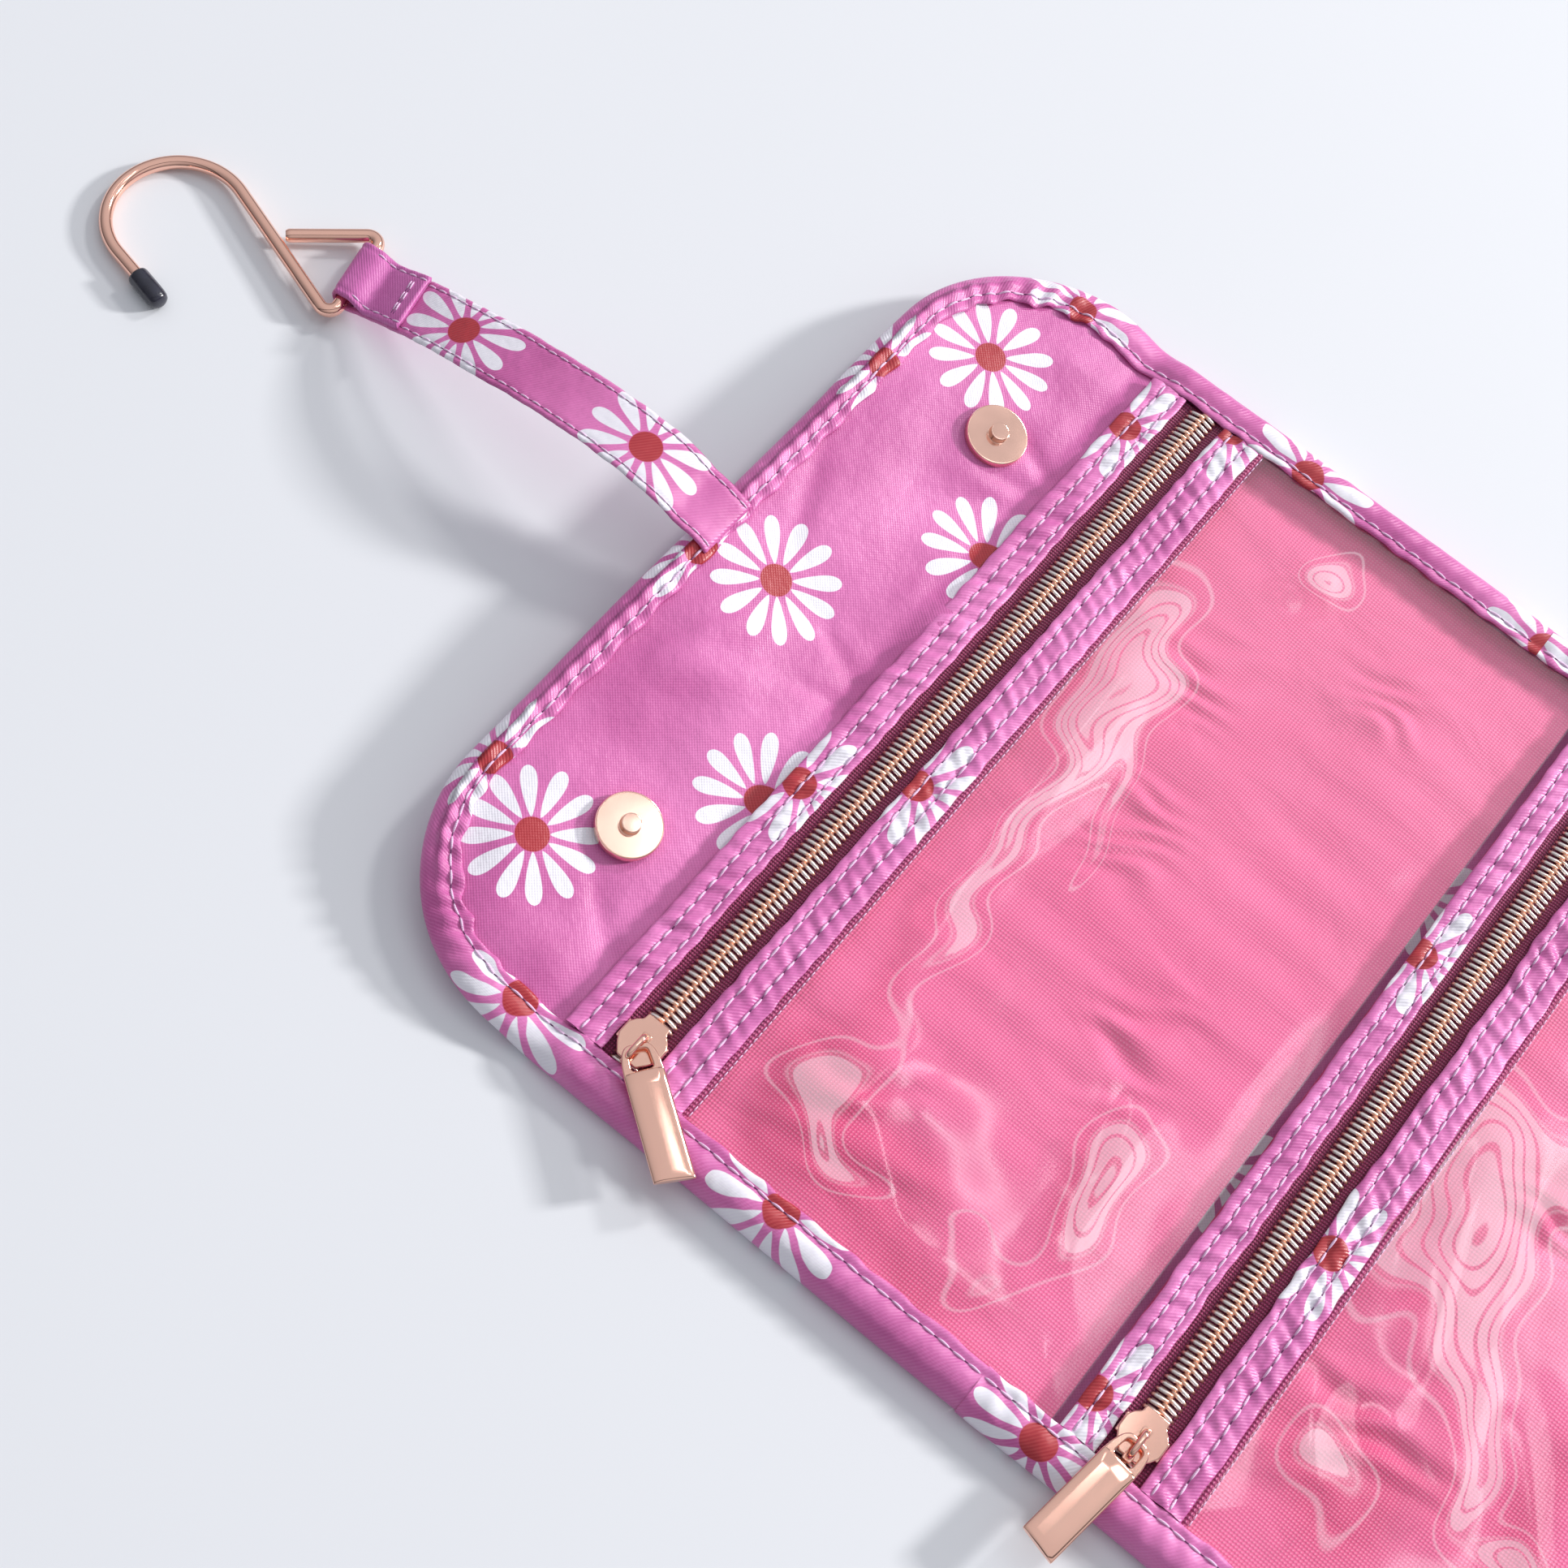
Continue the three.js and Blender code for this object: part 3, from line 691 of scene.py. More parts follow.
def flap_height(x, y):
    edge = half_width(y, FRONT_INSET) - np.abs(x)
    puff = smooth(edge / 16) * smooth((FLAP_END - 6 - y) / 14)
    swells = (0.3 * ripples(x, y, 11, 26) + -0.75 * ripples(x, y, 14, 58, along=(1.2, 0.8))) * puff
    near_drag = np.exp(-(((x + 22) / 16) ** 2) - ((y - 40) / 8) ** 2)
    drag = 0.5 * near_drag * np.sin((x + y * 0.8) / 2.6)
    pinches = sum(bell(x, y, place) for place in PINCHES)
    under_strip = 1 - smooth((y - 12.5) / 5)
    return np.maximum(2.3 + 0.9 * puff + swells + drag - pinches + 1.5 * under_strip, 1.1)


front_flat = cloth_grid(*FRONT_Y, FRONT_INSET, flap_height, 190, 1.0)
flap_front = sheet_object(
    "flap_front_cloth", bent(front_flat), front_flat[..., :2], FLAP_PRINT, "printed_fabric"
)
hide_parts("flap_front", "flap_interlining")
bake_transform(flap_front)


# Short wrinkles of the linings: x, y, pitch, length and depth
WRINKLES = [
    (8, -46, 6.0, 8, 0.7), (46, -36, 7.0, 9, 0.55), (-30, -72, 8.0, 10, 0.7),
    (-76, -40, 9.0, 14, 0.9), (70, -70, 7.0, 9, 0.5), (-62, -150, 9.0, 14, 0.9),
    (0, -158, 8.0, 12, 0.7), (58, -176, 7.0, 10, 0.6), (-30, -194, 8.0, 9, 0.6),
]

# Soft ellipses of painted shade on the linings: a darker, deeper pink under the clear fronts
DEEP_SHADE_SPOTS = [
    (-84, -38, 14, 22, 0.0, 1.1), (-50, -26, 36, 7, 0.1, 0.6), (-60, -84, 22, 9, 0.2, 0.7),
    (-92, -70, 10, 16, 0, 0.7), (-72, -152, 18, 18, 0.3, 1.2), (-56, -186, 24, 10, 0.4, 0.9),
    (30, -140, 30, 6, 0.1, 0.4),
]

# Soft ellipses of the clear fronts' painted reflections: milky white patches with nested outlines
PAINTED_GLARE_SPOTS = [
    (36, -24, 30, 8.5, 0.16, 0.95), (-18, -30, 44, 3.6, 0.1, 0.62), (-86, -40, 6, 16, -0.25, 0.62),
    (-74, -32, 7, 10, 0.5, 0.5), (-60, -84, 19, 6.5, 0.14, 0.85), (84, -46, 8, 4, 0.35, 0.8),
    (4, -40, 20, 3.0, 0.3, 0.5), (-86, -76, 6, 9, 0.3, 0.5), (-14, -144, 34, 11, 0.5, 1.15),
    (-34, -136, 16, 9, -0.4, 0.5), (10, -166, 11, 22, 0.35, 0.7), (-74, -146, 12, 8, 0.7, 0.62),
    (-54, -168, 18, 6, 0.6, 0.7), (-70, -186, 10, 5, 0.4, 0.7), (60, -150, 40, 6, 0.2, 0.6),
    (-30, -202, 26, 6, 0.1, 0.7),
]

# Ridges of each clear front: x, y, length, width, turn and height
RIDGES = {
    1: [
        (4, -27, 58, 8, 0.08, 1.5), (24, -30, 20, 12, 0.2, 0.5), (-72, -38, 22, 8, -0.35, 1.3),
        (-84, -52, 16, 6, 0.9, 0.9), (78, -44, 9, 5, 0.4, 0.8), (-60, -84, 24, 8, 0.12, 1.5),
        (-50, -78, 12, 4, 0.3, -0.5),
    ],
    2: [
        (-26, -145, 34, 9, 0.35, 1.7), (-12, -152, 20, 5, 0.2, -0.5), (-70, -142, 18, 8, 0.6, 1.5),
        (-62, -158, 14, 6, 1.1, 0.9), (30, -172, 40, 10, 0.25, 1.5), (-56, -184, 28, 9, 0.6, 1.5),
        (66, -156, 26, 9, 0.1, 1.3),
    ],
}


def lining_height(x, y):
    fine = 0.2 * ripples(x, y, 21, 26, along=(1.5, 0.5))
    broad = 0.5 * ripples(x, y, 22, 60)
    wander = 2.6 * ripples(x, y, 23, 24)
    rows = 0
    for cx, cy, pitch, length, depth in WRINKLES:
        near = np.exp(-(((x - cx) / 12) ** 2) - ((y - cy) / length) ** 2)
        rows = rows + depth * near * np.sin((x - cx + 0.3 * (y - cy) + wander) * 2 * PI / pitch)
    return np.clip(1.9 + np.clip(1.2 * fine + broad, -1.2, 1.4) + rows, 0.7, 4.2)


def film_height(number, y0, y1):
    """Height of a clear front, pinned along its edges."""

    def height(x, y):
        to_side, to_end = half_width(y, 9.5) - np.abs(x), np.minimum(np.abs(y - y1), np.abs(y - y0))
        pinned = smooth((np.minimum(to_side, to_end) + 1.5) / 13)
        z = 0.42 * ripples(x, y, 30 + number, 66, along=(0.6, 1.2))
        z = z + 0.05 * ripples(x, y, 40 + number, 20)
        for place in RIDGES[number]:
            z = z + bell(x, y, place, 4)
        return 5.35 + pinned * (0.5 + np.maximum(z, -1.0))

    return height


LINING_Y = ((FOLD_Y + 0.9, 13), (PANEL_2_END + LINING_INSET, FOLD_Y - 0.9))
for number, (y0, y1) in enumerate(LINING_Y, 1):
    cloth = cloth_grid(y0, y1, LINING_INSET, lining_height, 220, 1.2)
    # Where the painted shade goes on each lining, one value per point
    marks = spots(cloth, DEEP_SHADE_SPOTS, 26)
    obj = sheet_object(f"lining_{number}", cloth, cloth[..., :2], LINING, "lining", marks, SNAP_HOLES)
    stand_in(obj, f"panel_{number}", f"panel_{number}_lining")

WINDOW_Y = ((FOLD_Y + 0.8, -13.2), (PANEL_2_END + 8, -130.6))
for number, (y0, y1) in enumerate(WINDOW_Y, 1):
    cloth = cloth_grid(y0, y1, WINDOW_INSET, film_height(number, y0, y1), 260, 1.0)
    # Where the painted reflections go on each clear front, one value per point
    marks = spots(cloth, PAINTED_GLARE_SPOTS, 36)
    obj = sheet_object(f"window_{number}", cloth, cloth[..., :2], FILM, "clear_vinyl", marks)
    stand_in(obj, f"panel_{number}", f"panel_{number}_window")
    flat = (0.2016, abs(y1 - y0) * MM)


# ---------------------------------------------------------------- stitches
def stitch_rows(name, lines, body=None, pitch=3.6, length=2.75, radius=0.27, blend=None):
    """Raised stitches along lines of points, with dark tubes between them as painted shade where the thread
    goes into the cloth.
    """

    def along(distances):
        return np.stack([np.interp(distances, run, path[:, k]) for k in range(3)], 1)

    over, hole_shades = [], []
    t = np.linspace(0, 1, 7)
    thickness = radius * (0.45 + 0.55 * np.sin(PI * np.clip(t, 0.06, 0.94)) ** 0.5)
    for line in lines:
        path, run = even(line, 0.4)
        for start in np.arange(0.6, run[-1] - length, pitch):
            centre = along(start + t * length)
            centre[:, 2] += 0.3 * np.sin(PI * t) ** 0.6 - 0.14
            over.append(tube(centre, thickness, 7))
            if start + pitch + 0.1 > run[-1]:
                continue
            # Painted shade: a dark tube from one stitch to the next, sunk a little into the cloth
            centre = along(np.linspace(start + length - 0.1, start + pitch + 0.1, 3))
            centre[:, 2] -= 0.02
            hole_shades.append(tube(centre, radius * np.array([0.35, 0.6, 0.35]), 6))
    made = []
    # The dark tubes of painted shade make the objects whose names end in _holes
    for word, parts, material in (("stitches", over, THREAD), ("holes", hole_shades, THREAD_HOLE_SHADE)):
        obj = mesh_object(f"{name}_{word}", *joined(parts), material, "printed_fabric")
        if blend:
            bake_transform(obj)
        else:
            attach(obj, body)
        made.append(obj)
    return made


# ---------------------------------------------------------------- edge binding
def edge_path(y_open, y_closed, step=0.8):
    """Outer edge from one side, round the closed end, to the other: points, distances, inward directions."""
    side = 1 if y_closed > y_open else -1
    cx, cy = HALF_WIDTH - CORNER_R, y_closed - side * CORNER_R
    line = [(-HALF_WIDTH, y_open), (-HALF_WIDTH, cy)]
    for a in np.linspace(0, PI / 2, 40)[1:]:
        line.append((-cx - CORNER_R * math.cos(a), cy + side * CORNER_R * math.sin(a)))
    for a in np.linspace(PI / 2, 0, 40):
        line.append((cx + CORNER_R * math.cos(a), cy + side * CORNER_R * math.sin(a)))
    line.append((HALF_WIDTH, y_open))
    path, run = even(line, step)
    tangent = unit(np.gradient(path, axis=0))
    return path, run, side * np.stack([tangent[:, 1], -tangent[:, 0]], 1), side


# Section of the band, from its lower inner edge round the outside to its upper inner lip. Each point is
# a distance from the band's inner edge (or from the outer edge, where True), a share of the thickness,
# and a lift.
BAND_SECTION = [
    (-2.5, 0, 0.55, False), (-0.1, 0, 0.5, False), (0, 0, 0.25, False), (-0.9, 0, 0.04, False),
    (-3, 0, 0.02, False), (-5.5, 0, 0.02, False), (1.6, 0, 0.04, True), (0.7, 0.06, 0.2, True),
    (0.15, 0.2, 0.1, True), (0, 0.36, 0.1, True), (0.2, 0.54, 0.1, True), (0.7, 0.72, 0.15, True),
    (1.5, 0.88, 0.25, True), (2.6, 1, 0.3, True), (-4.9, 1, 0.62, False), (-3.7, 1, 0.5, False),
    (-2.8, 1, 0.16, False), (-2.2, 1, -0.06, False), (-1.7, 1, 0.1, False), (-1.1, 1, 0.3, False),
    (-0.5, 1, 0.28, False), (-0.08, 1, 0.06, False), (0, 1, -0.22, False), (-0.5, 1, -0.5, False),
    (-2.2, 1, -0.62, False),
]
STITCH_GROOVE = 17  # the point of the section at the bottom of its seam
PRINT_STRETCH = 0.942  # along the bias-cut band
PRINT_SHIFT = (-47.5 * PRINT_STRETCH, -20)


def binding(name, y_closed, end_band, seed, scale, place):
    """The band from the middle of the panel round one end; also its seam, the way round it and its length."""
    path, run, inward, side = edge_path(MID_PANEL, y_closed)
    level = np.abs(inward[:, 1])
    band = SIDE_BAND + (end_band - SIDE_BAND) * level
    thick = np.full(len(path), PANEL_T)
    if side > 0:
        thick = PANEL_T + (FLAP_T - PANEL_T) * smooth((path[:, 1] - 8) / 10)
    corner = np.clip(1 - np.abs(level - 0.6) / 0.55, 0, 1)
    rng = np.random.default_rng(seed)
    knots = int(run[-1] / 9)
    jitter = np.interp(run, np.linspace(0, run[-1], knots), rng.uniform(-1, 1, knots))
    sway = 0.5 * ripples(run, run * 0, seed + 1, 60)
    columns, around = [], [0.0]
    for offset, share, lift, from_outside in BAND_SECTION:
        s = np.full(len(path), float(offset)) if from_outside else band + offset
        z = share * thick + lift
        top = 1.0 if share >= 0.85 else 0.0
        phase = 2 * PI * run / 5.6 + 1.4 * jitter + 0.55 * s
        pucker = (0.16 + 0.42 * corner) * np.sin(phase) * top * np.clip(s / 3, 0, 1)
        at_lip = 1.0 if abs(offset) < 1 and not from_outside else 0.25
        wander = (0.22 + 0.5 * corner) * np.sin(phase * 0.5 + jitter) * at_lip * top
        s = s + wander + 0.3 * sway * (1 - s / band)
        columns.append(np.column_stack([path + inward * s[:, None], z + pucker]))
        if len(columns) > 1:
            gap = np.linalg.norm(columns[-1] - columns[-2], axis=1).mean()
            around.append(around[-1] + float(gap))
    points = np.stack(columns, 1)
    u, v = run[:, None] * scale + PRINT_SHIFT[0], np.array(around) + PRINT_SHIFT[1]
    uv = np.stack(np.broadcast_arrays(u, v), -1)
    obj = sheet_object(name, place(points), uv, BAND_PRINT, "printed_fabric")
    return obj, place(points[:, STITCH_GROOVE] + (0, 0, 0.1)), around[-1], run[-1]


TOP_NODES = ("flap_binding", "panel_1_left_binding", "panel_1_right_binding")
for word, y_closed, end_band, seed, scale, place, fold, nodes in (
    ("upper", FLAP_END, TOP_BAND, 51, PRINT_STRETCH, bent, TOP_FOLD, TOP_NODES),
    ("lower", PANEL_2_END, SIDE_BAND, 61, -PRINT_STRETCH, np.asarray, LOW_FOLD, ("panel_2_binding",)),
):
    name = f"binding_{word}"
    band, seam, width, length = binding(name, y_closed, end_band, seed, scale, place)
    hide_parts(*nodes)
    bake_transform(band)
    stitch_rows(name, [seam], blend=fold)
    flat = (round(width) * MM, length * MM)


# ---------------------------------------------------------------- zips
# Turned-in edges of a strip, as distances outside its visible width and heights
TURNED_IN = [(2.2, -0.62), (0.6, -0.62), (0.05, -0.42), (-0.05, -0.18), (0.1, 0.02), (0.5, 0.12)]


def strip(name, zip_y, side, outer, shift, seed, body, node, beside=()):
    """A folded band of print beside the zip, with two stitch rows."""
    x = np.arange(-ZIP_HALF, ZIP_HALF + 0.1, 0.7)
    width = outer - STRIP_IN
    rows = [width - 3.2, width - 7.0] if width > 8 else [width - 2.6, 1.6]
    profile = list(TURNED_IN)
    for s in np.linspace(1.0, width - 1.0, 19):
        dip = sum(math.exp(-(((s - r) / 0.55) ** 2)) for r in rows)
        profile.append((s, 0.24 - 0.42 * dip))
    profile = np.array(profile + [(width - s, z) for s, z in TURNED_IN[::-1]])
    sway = 0.12 * ripples(x, x * 0, seed, 24)
    edge = 0.12 * ripples(x, x * 0, seed + 1, 7)
    s, z = profile[:, 0][None, :], profile[:, 1][None, :]
    shape = np.sin(PI * np.clip(s / width, 0, 1))
    y = s + (sway + edge)[:, None] * (0.4 + 0.6 * (1 - shape))
    folds = 0.17 * np.sin(2 * PI * (x[:, None] + 0.45 * s) / 3.6)
    folds = folds + 0.34 * ripples(x[:, None] + 0.6 * s, s, seed + 2, 7, along=(1, 0.7))
    height = 5.8 + z + folds * (z > -0.3) * (0.35 + 0.65 * shape)
    points = grid(x[:, None], zip_y + side * (STRIP_IN + y), height)
    obj = sheet_object(name, points, points[..., :2] - np.array(shift), STRIP_PRINT, "printed_fabric")
    stand_in(obj, body, node)
    lines = []
    for r in rows:
        at = int(np.argmin(np.abs(profile[:, 0] - r) + 10 * (profile[:, 1] < -0.5)))
        lines.append(points[:, at] + (0, 0, 0.1))
    pieces = [*stitch_rows(name, lines, body), *beside]


def tape(name, zip_y, side, body, node, far):
    x = np.arange(-ZIP_HALF, ZIP_HALF + 0.1, 0.8)[:, None]
    s = np.linspace(0.5, far, 18)[None, :]
    z = 4.1 + 0.55 * smooth((s - 2.4) / 1.6) + 0.05 * ripples(x, s, 70 + side, 9)
    points = grid(x, zip_y + side * s, z)
    obj = sheet_object(name, points, points[..., :2], TAPE, "zip_tape")
    stand_in(obj, body, node)


# One turn of the coil: an upper leg with its head over the middle, and the lower leg behind it
UPPER_LEG = [
    (0.0, 3.14, 4.7), (0.0, 2.95, 5.0), (0.02, 2.3, 5.3), (0.08, 1.4, 5.5), (0.18, 0.5, 5.6),
    (0.34, -0.2, 5.4), (0.44, -0.55, 4.9),
]
UPPER_R = [0.2, 0.36, 0.41, 0.42, 0.43, 0.4, 0.22]
LOWER_LEG = [(0.7, 2.7, 4.5), (0.72, 2.4, 4.62), (0.76, 1.6, 4.72), (0.8, 0.6, 4.8), (0.72, 0.2, 4.8)]
LOWER_R = [0.14, 0.26, 0.28, 0.28, 0.16]
COIL_PITCH = 1.43


def teeth(name, zip_y, side, body, node):
    start = -99.2 + (COIL_PITCH / 2 if side < 0 else 0)
    for word, leg, radius, sides, material in (
        ("upper_turns", UPPER_LEG, UPPER_R, 9, COIL), ("lower_turns", LOWER_LEG, LOWER_R, 6, COIL_BACK)
    ):
        turn, faces = tube(np.array(leg) * (1, side, 1), np.array(radius), sides)
        turns = [(turn + np.array((x, zip_y, 0)), faces) for x in np.arange(start, 99.3, COIL_PITCH)]
        points, faces = joined(turns)
        uv = points[:, :2] - (0, zip_y)
        stand_in(mesh_object(f"{name}_{word}", points, faces, material, "coil_teeth", uv), body, node)


def selvedge(name, y, body):
    """The clear front's ribbed edge below a zip's lower strip, with its fine stitches."""
    x = np.arange(-ZIP_HALF, ZIP_HALF + 0.1, 0.3)
    s = np.linspace(0, 1.3, 7)[None, :]
    ribs = 0.07 * np.sin(2 * PI * (x[:, None] + 0.4 * s) / 0.9)
    points = grid(x[:, None], y - s, 5.35 + 0.42 * np.sin(PI * s / 1.3) ** 0.6 + ribs)
    obj = sheet_object(name, points, points[..., :2], SELVEDGE, "zip_tape")
    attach(obj, body)
    return [obj, *stitch_rows(name, [grid(x, y - 1.45, 5.62)], body, 1.5, 1.2, 0.14)]


# Where each strip is cut from the repeat
STRIP_SHIFT = {
    "zip_1_upper": (-30.8, 11.4), "zip_1_lower": (-15.2, -6.7),
    "zip_2_upper": (24.2, -105.8), "zip_2_lower": (-39.6, -125.7),
}
# Outer edges of the strip and the tape, from the zip's middle
OUTER_EDGES = {
    "zip_1_upper": (14.0, 12.5), "zip_1_lower": (STRIP_OUT, 12.5),
    "zip_2_upper": (13.0, 12.0), "zip_2_lower": (STRIP_OUT, 12.5),
}
for number, zip_y in enumerate(ZIP_Y, 1):
    body = f"panel_{number}"
    for side, word in ((1, "upper"), (-1, "lower")):
        name = f"zip_{number}_{word}"
        strip_out, tape_out = OUTER_EDGES[name]
        tape(f"{name}_tape_cloth", zip_y, side, body, f"{name}_tape", tape_out)
        teeth(f"{name}_coil", zip_y, side, body, f"{name}_teeth")
        beside = selvedge(f"zip_{number}_selvedge", zip_y - 14.45, body) if side < 0 else ()
        seed, node = 80 + 10 * number + side, f"{name}_strip"
        strip(f"{node}_cloth", zip_y, side, strip_out, STRIP_SHIFT[name], seed, body, node, beside)


# ---------------------------------------------------------------- sliders and pulls
def rounded(outline, radius, count=5):
    """Corners of a polygon rounded off."""
    outline = np.asarray(outline, float)
    out = []
    for i, p in enumerate(outline):
        a, b = outline[i - 1] - p, outline[(i + 1) % len(outline)] - p
        reach_a, reach_b = np.linalg.norm(a), np.linalg.norm(b)
        cut = min(radius, 0.45 * reach_a, 0.45 * reach_b)
        start, end = p + a / reach_a * cut, p + b / reach_b * cut
        for t in np.linspace(0, 1, count):
            out.append((1 - t) ** 2 * start + 2 * t * (1 - t) * p + t**2 * end)
    return out


def slider_parts():
    """The slider about its middle: two plates, flanges, wedge, bail and the bail's feet."""
    half = [(5.1, 2.7), (3.6, 2.8), (2.7, 3.9), (1.2, 4.75), (-1.6, 4.75), (-3.2, 3.9), (-5.2, 2.3)]
    outline = rounded([(x, -y) for x, y in half][::-1] + half, 0.45)
    parts = [plate([outline], 6.05, 6.95, 0.3), plate([outline], 2.3, 3.0, 0.2)]
    for side in (1, -1):
        box = [(-2.4, side * 3.6), (1.9, side * 3.6), (1.9, side * 4.85), (-2.4, side * 4.85)]
        parts.append(plate([rounded(box[::side], 0.3)], 5.1, 6.7, 0.2))
    wedge = [(3.0, -0.9), (5.0, -1.3), (5.0, 1.3), (3.0, 0.9)]
    parts.append(plate([rounded(wedge, 0.3)], 2.8, 6.3, 0.15))
    arch = [(2.9, 6.6), (2.8, 7.9), (2.2, 8.9), (1, 9.3), (-1, 9.35), (-2.2, 9), (-2.8, 8), (-2.9, 6.6)]
    arch = spline([(x, 0, z) for x, z in arch], 6) + (BAIL_X, 0, 0)
    parts.append(tube(arch, 0.52, 12, frame_up=(0, 1, 0), flat=1.25))
    for x in (BAIL_X + 2.9, BAIL_X - 2.9):
        foot = [(x - 0.9, -1), (x + 0.9, -1), (x + 0.9, 1), (x - 0.9, 1)]
        parts.append(plate([rounded(foot, 0.4)], 6.8, 7.25, 0.18))
    return joined(parts)


def pull_parts():
    """The pull along +X from its cross-bar, flat in z."""
    head = [(-0.55, -2.1), (0.6, -3.15), (3.0, -3.8), (6.4, -4.0)]
    head += [(x, -y) for x, y in head[::-1]]
    window = [(0.5, -1.95), (4.7, -2.25), (4.7, 2.25), (0.5, 1.95)]
    loop = plate([rounded(head, 0.8), rounded(window, 0.9)[::-1]], -0.55, 0.55, 0.3)
    stations = [
        (4.9, 0.55), (5.1, 0.85), (5.5, 1.0), (8, 1.0), (14, 1.0), (20, 1.0), (25, 1.0),
        (26.2, 1.0), (26.7, 0.92), (26.95, 0.7),
    ]
    angle = np.linspace(0, 2 * PI, 56, endpoint=False)
    rings = []
    for x, size in stations:
        y = 4.0 * np.sign(np.cos(angle)) * np.abs(np.cos(angle)) ** 0.28
        z = 0.62 * np.sign(np.sin(angle)) * np.abs(np.sin(angle)) ** 0.45
        crown = 0.5 * (1 - (y / 4) ** 2) - 0.34 * np.exp(-(((y - 1.3) / 0.75) ** 2))
        z = z + np.where(z > 0, crown, -0.3 * crown)
        slant = 0.1 * y * (x > 24)
        rings.append(np.column_stack([x + slant, y * (0.94 + 0.06 * size), z * size]))
    return joined([loop, (np.concatenate(rings), capped(len(rings), len(angle)))])


def placed(parts, matrix):
    points, faces = parts
    return points @ np.array(matrix.to_3x3()).T + np.array(matrix.translation), faces


for number, (x, y, angle) in enumerate(zip(SLIDER_X, ZIP_Y, PULL_TURN), 1):
    at = Matrix.Translation((x, y, 0))
    nodes = (f"zip_{number}_slider", f"zip_{number}_slider_lower_plate")
    metal_piece(f"slider_{number}_body", placed(slider_parts(), at), ROSE, f"slider_{number}", *nodes)
    turn = at @ Matrix.Translation((BAIL_X, 0, PULL_Z)) @ Matrix.Rotation(angle, 4, "Z")
    bar = placed(pull_parts(), turn)
    metal_piece(f"pull_{number}_bar", bar, ROSE, f"pull_{number}", f"zip_{number}_pull")


# ---------------------------------------------------------------- snaps
# Radius and height; the close pairs of points keep the shading even next to the edges
MALE = [
    (0.0, 3.4), (1.78, 3.4), (1.92, 3.39), (2.05, 3.33), (2.1, 3.2), (2.1, 1.85), (2.14, 1.74),
    (2.2, 1.72), (2.35, 1.72), (6.55, 1.72), (6.7, 1.715), (6.86, 1.66), (6.96, 1.52), (7.0, 1.3),
    (7.0, 0.2), (6.8, 0.0), (0.0, 0.0),
]
FEMALE = [
    (0.0, 2.0), (2.3, 2.0), (2.5, 1.8), (2.5, 0.5), (2.7, 0.15), (3.0, 0.05), (4.8, 0.0),
    (6.4, 0.05), (6.8, 0.25), (7.0, 0.6), (7.0, 2.2), (6.8, 2.5), (0.0, 2.6),
]
for side, word in ((1, "right"), (-1, "left")):
    points, faces = lathe(MALE)
    tilt = np.array(Matrix.Rotation(FLAP_LIFT, 3, "X")).T
    disc = (points @ tilt + bent([side * SNAP[0], SNAP[1], 2.9]), faces[:, ::-1])
    nodes = (f"snap_{word}_male", f"snap_{word}_washer")
    metal_piece(f"snap_{word}_male_disc", disc, SNAP_METAL, "flap", *nodes)
    points, faces = lathe(FEMALE)
    disc = (points + (side * SNAP[0], FEMALE_SNAP_Y, 0), faces)
    metal_piece(f"snap_{word}_female_disc", disc, SNAP_METAL, "panel_2", f"snap_{word}_female")


# ---------------------------------------------------------------- strap
STRAP_COLUMNS = 31
LOOP_R = 1.5 + 0.25 + 0.6  # of the strap's middle line about the bar: wire, gap and half thickness
TAB_LENGTH = 21.5  # at the strap's end, where its plain reverse shows


def strap_line():
    """Middle of the strap from its root on the flap to the end of its folded tab, as y and z."""
    slope = math.radians(-24.8)
    along = np.array([math.cos(slope), math.sin(slope)])
    up = np.array([-along[1], along[0]])
    points = [bent([0.0, y, z])[1:] for y, z in ((56.2, 3.5), (57.4, 4.05), (59.5, 4.4), (61.6, 4.55))]
    arch = [(65.5, 17.9), (69, 19.4), (74, 20.7), (81, 21.2)]
    arch += [(91, 20.6), (103, 18.7), (115, 16.2), (127, 13.1)]
    points += [np.array(p) for p in arch]
    points += [BAR - along * back - up * LOOP_R for back in (20, 14, 8, 3)]
    for a in np.linspace(slope - PI / 2, slope - PI / 2 + PI * 0.98, 9):
        points.append(BAR + LOOP_R * np.array([math.cos(a), math.sin(a)]))
    tab = 1.35 - LOOP_R
    points += [BAR - along * 3.4 + up * 1.5, BAR - along * 6.4 + up * (tab + 0.3)]
    points += [BAR - along * back + up * (tab + 0.05) for back in (9, 12, 17.2)]
    return even(spline(points, 10), 0.7)


def strap_section():
    """Upper face from side to side with its stitched grooves, then the lower face back."""
    section = []
    for s in np.linspace(-1, 1, STRAP_COLUMNS):
        groove = math.exp(-(((abs(s) - 0.8) / 0.06) ** 2))
        section.append((s, 0.5 * (1 - math.exp(-(1 - abs(s)) / 0.035)) + 0.06 - 0.22 * groove))
    return np.array(section + [(s, -z) for s, z in section[::-1]][1:-1])


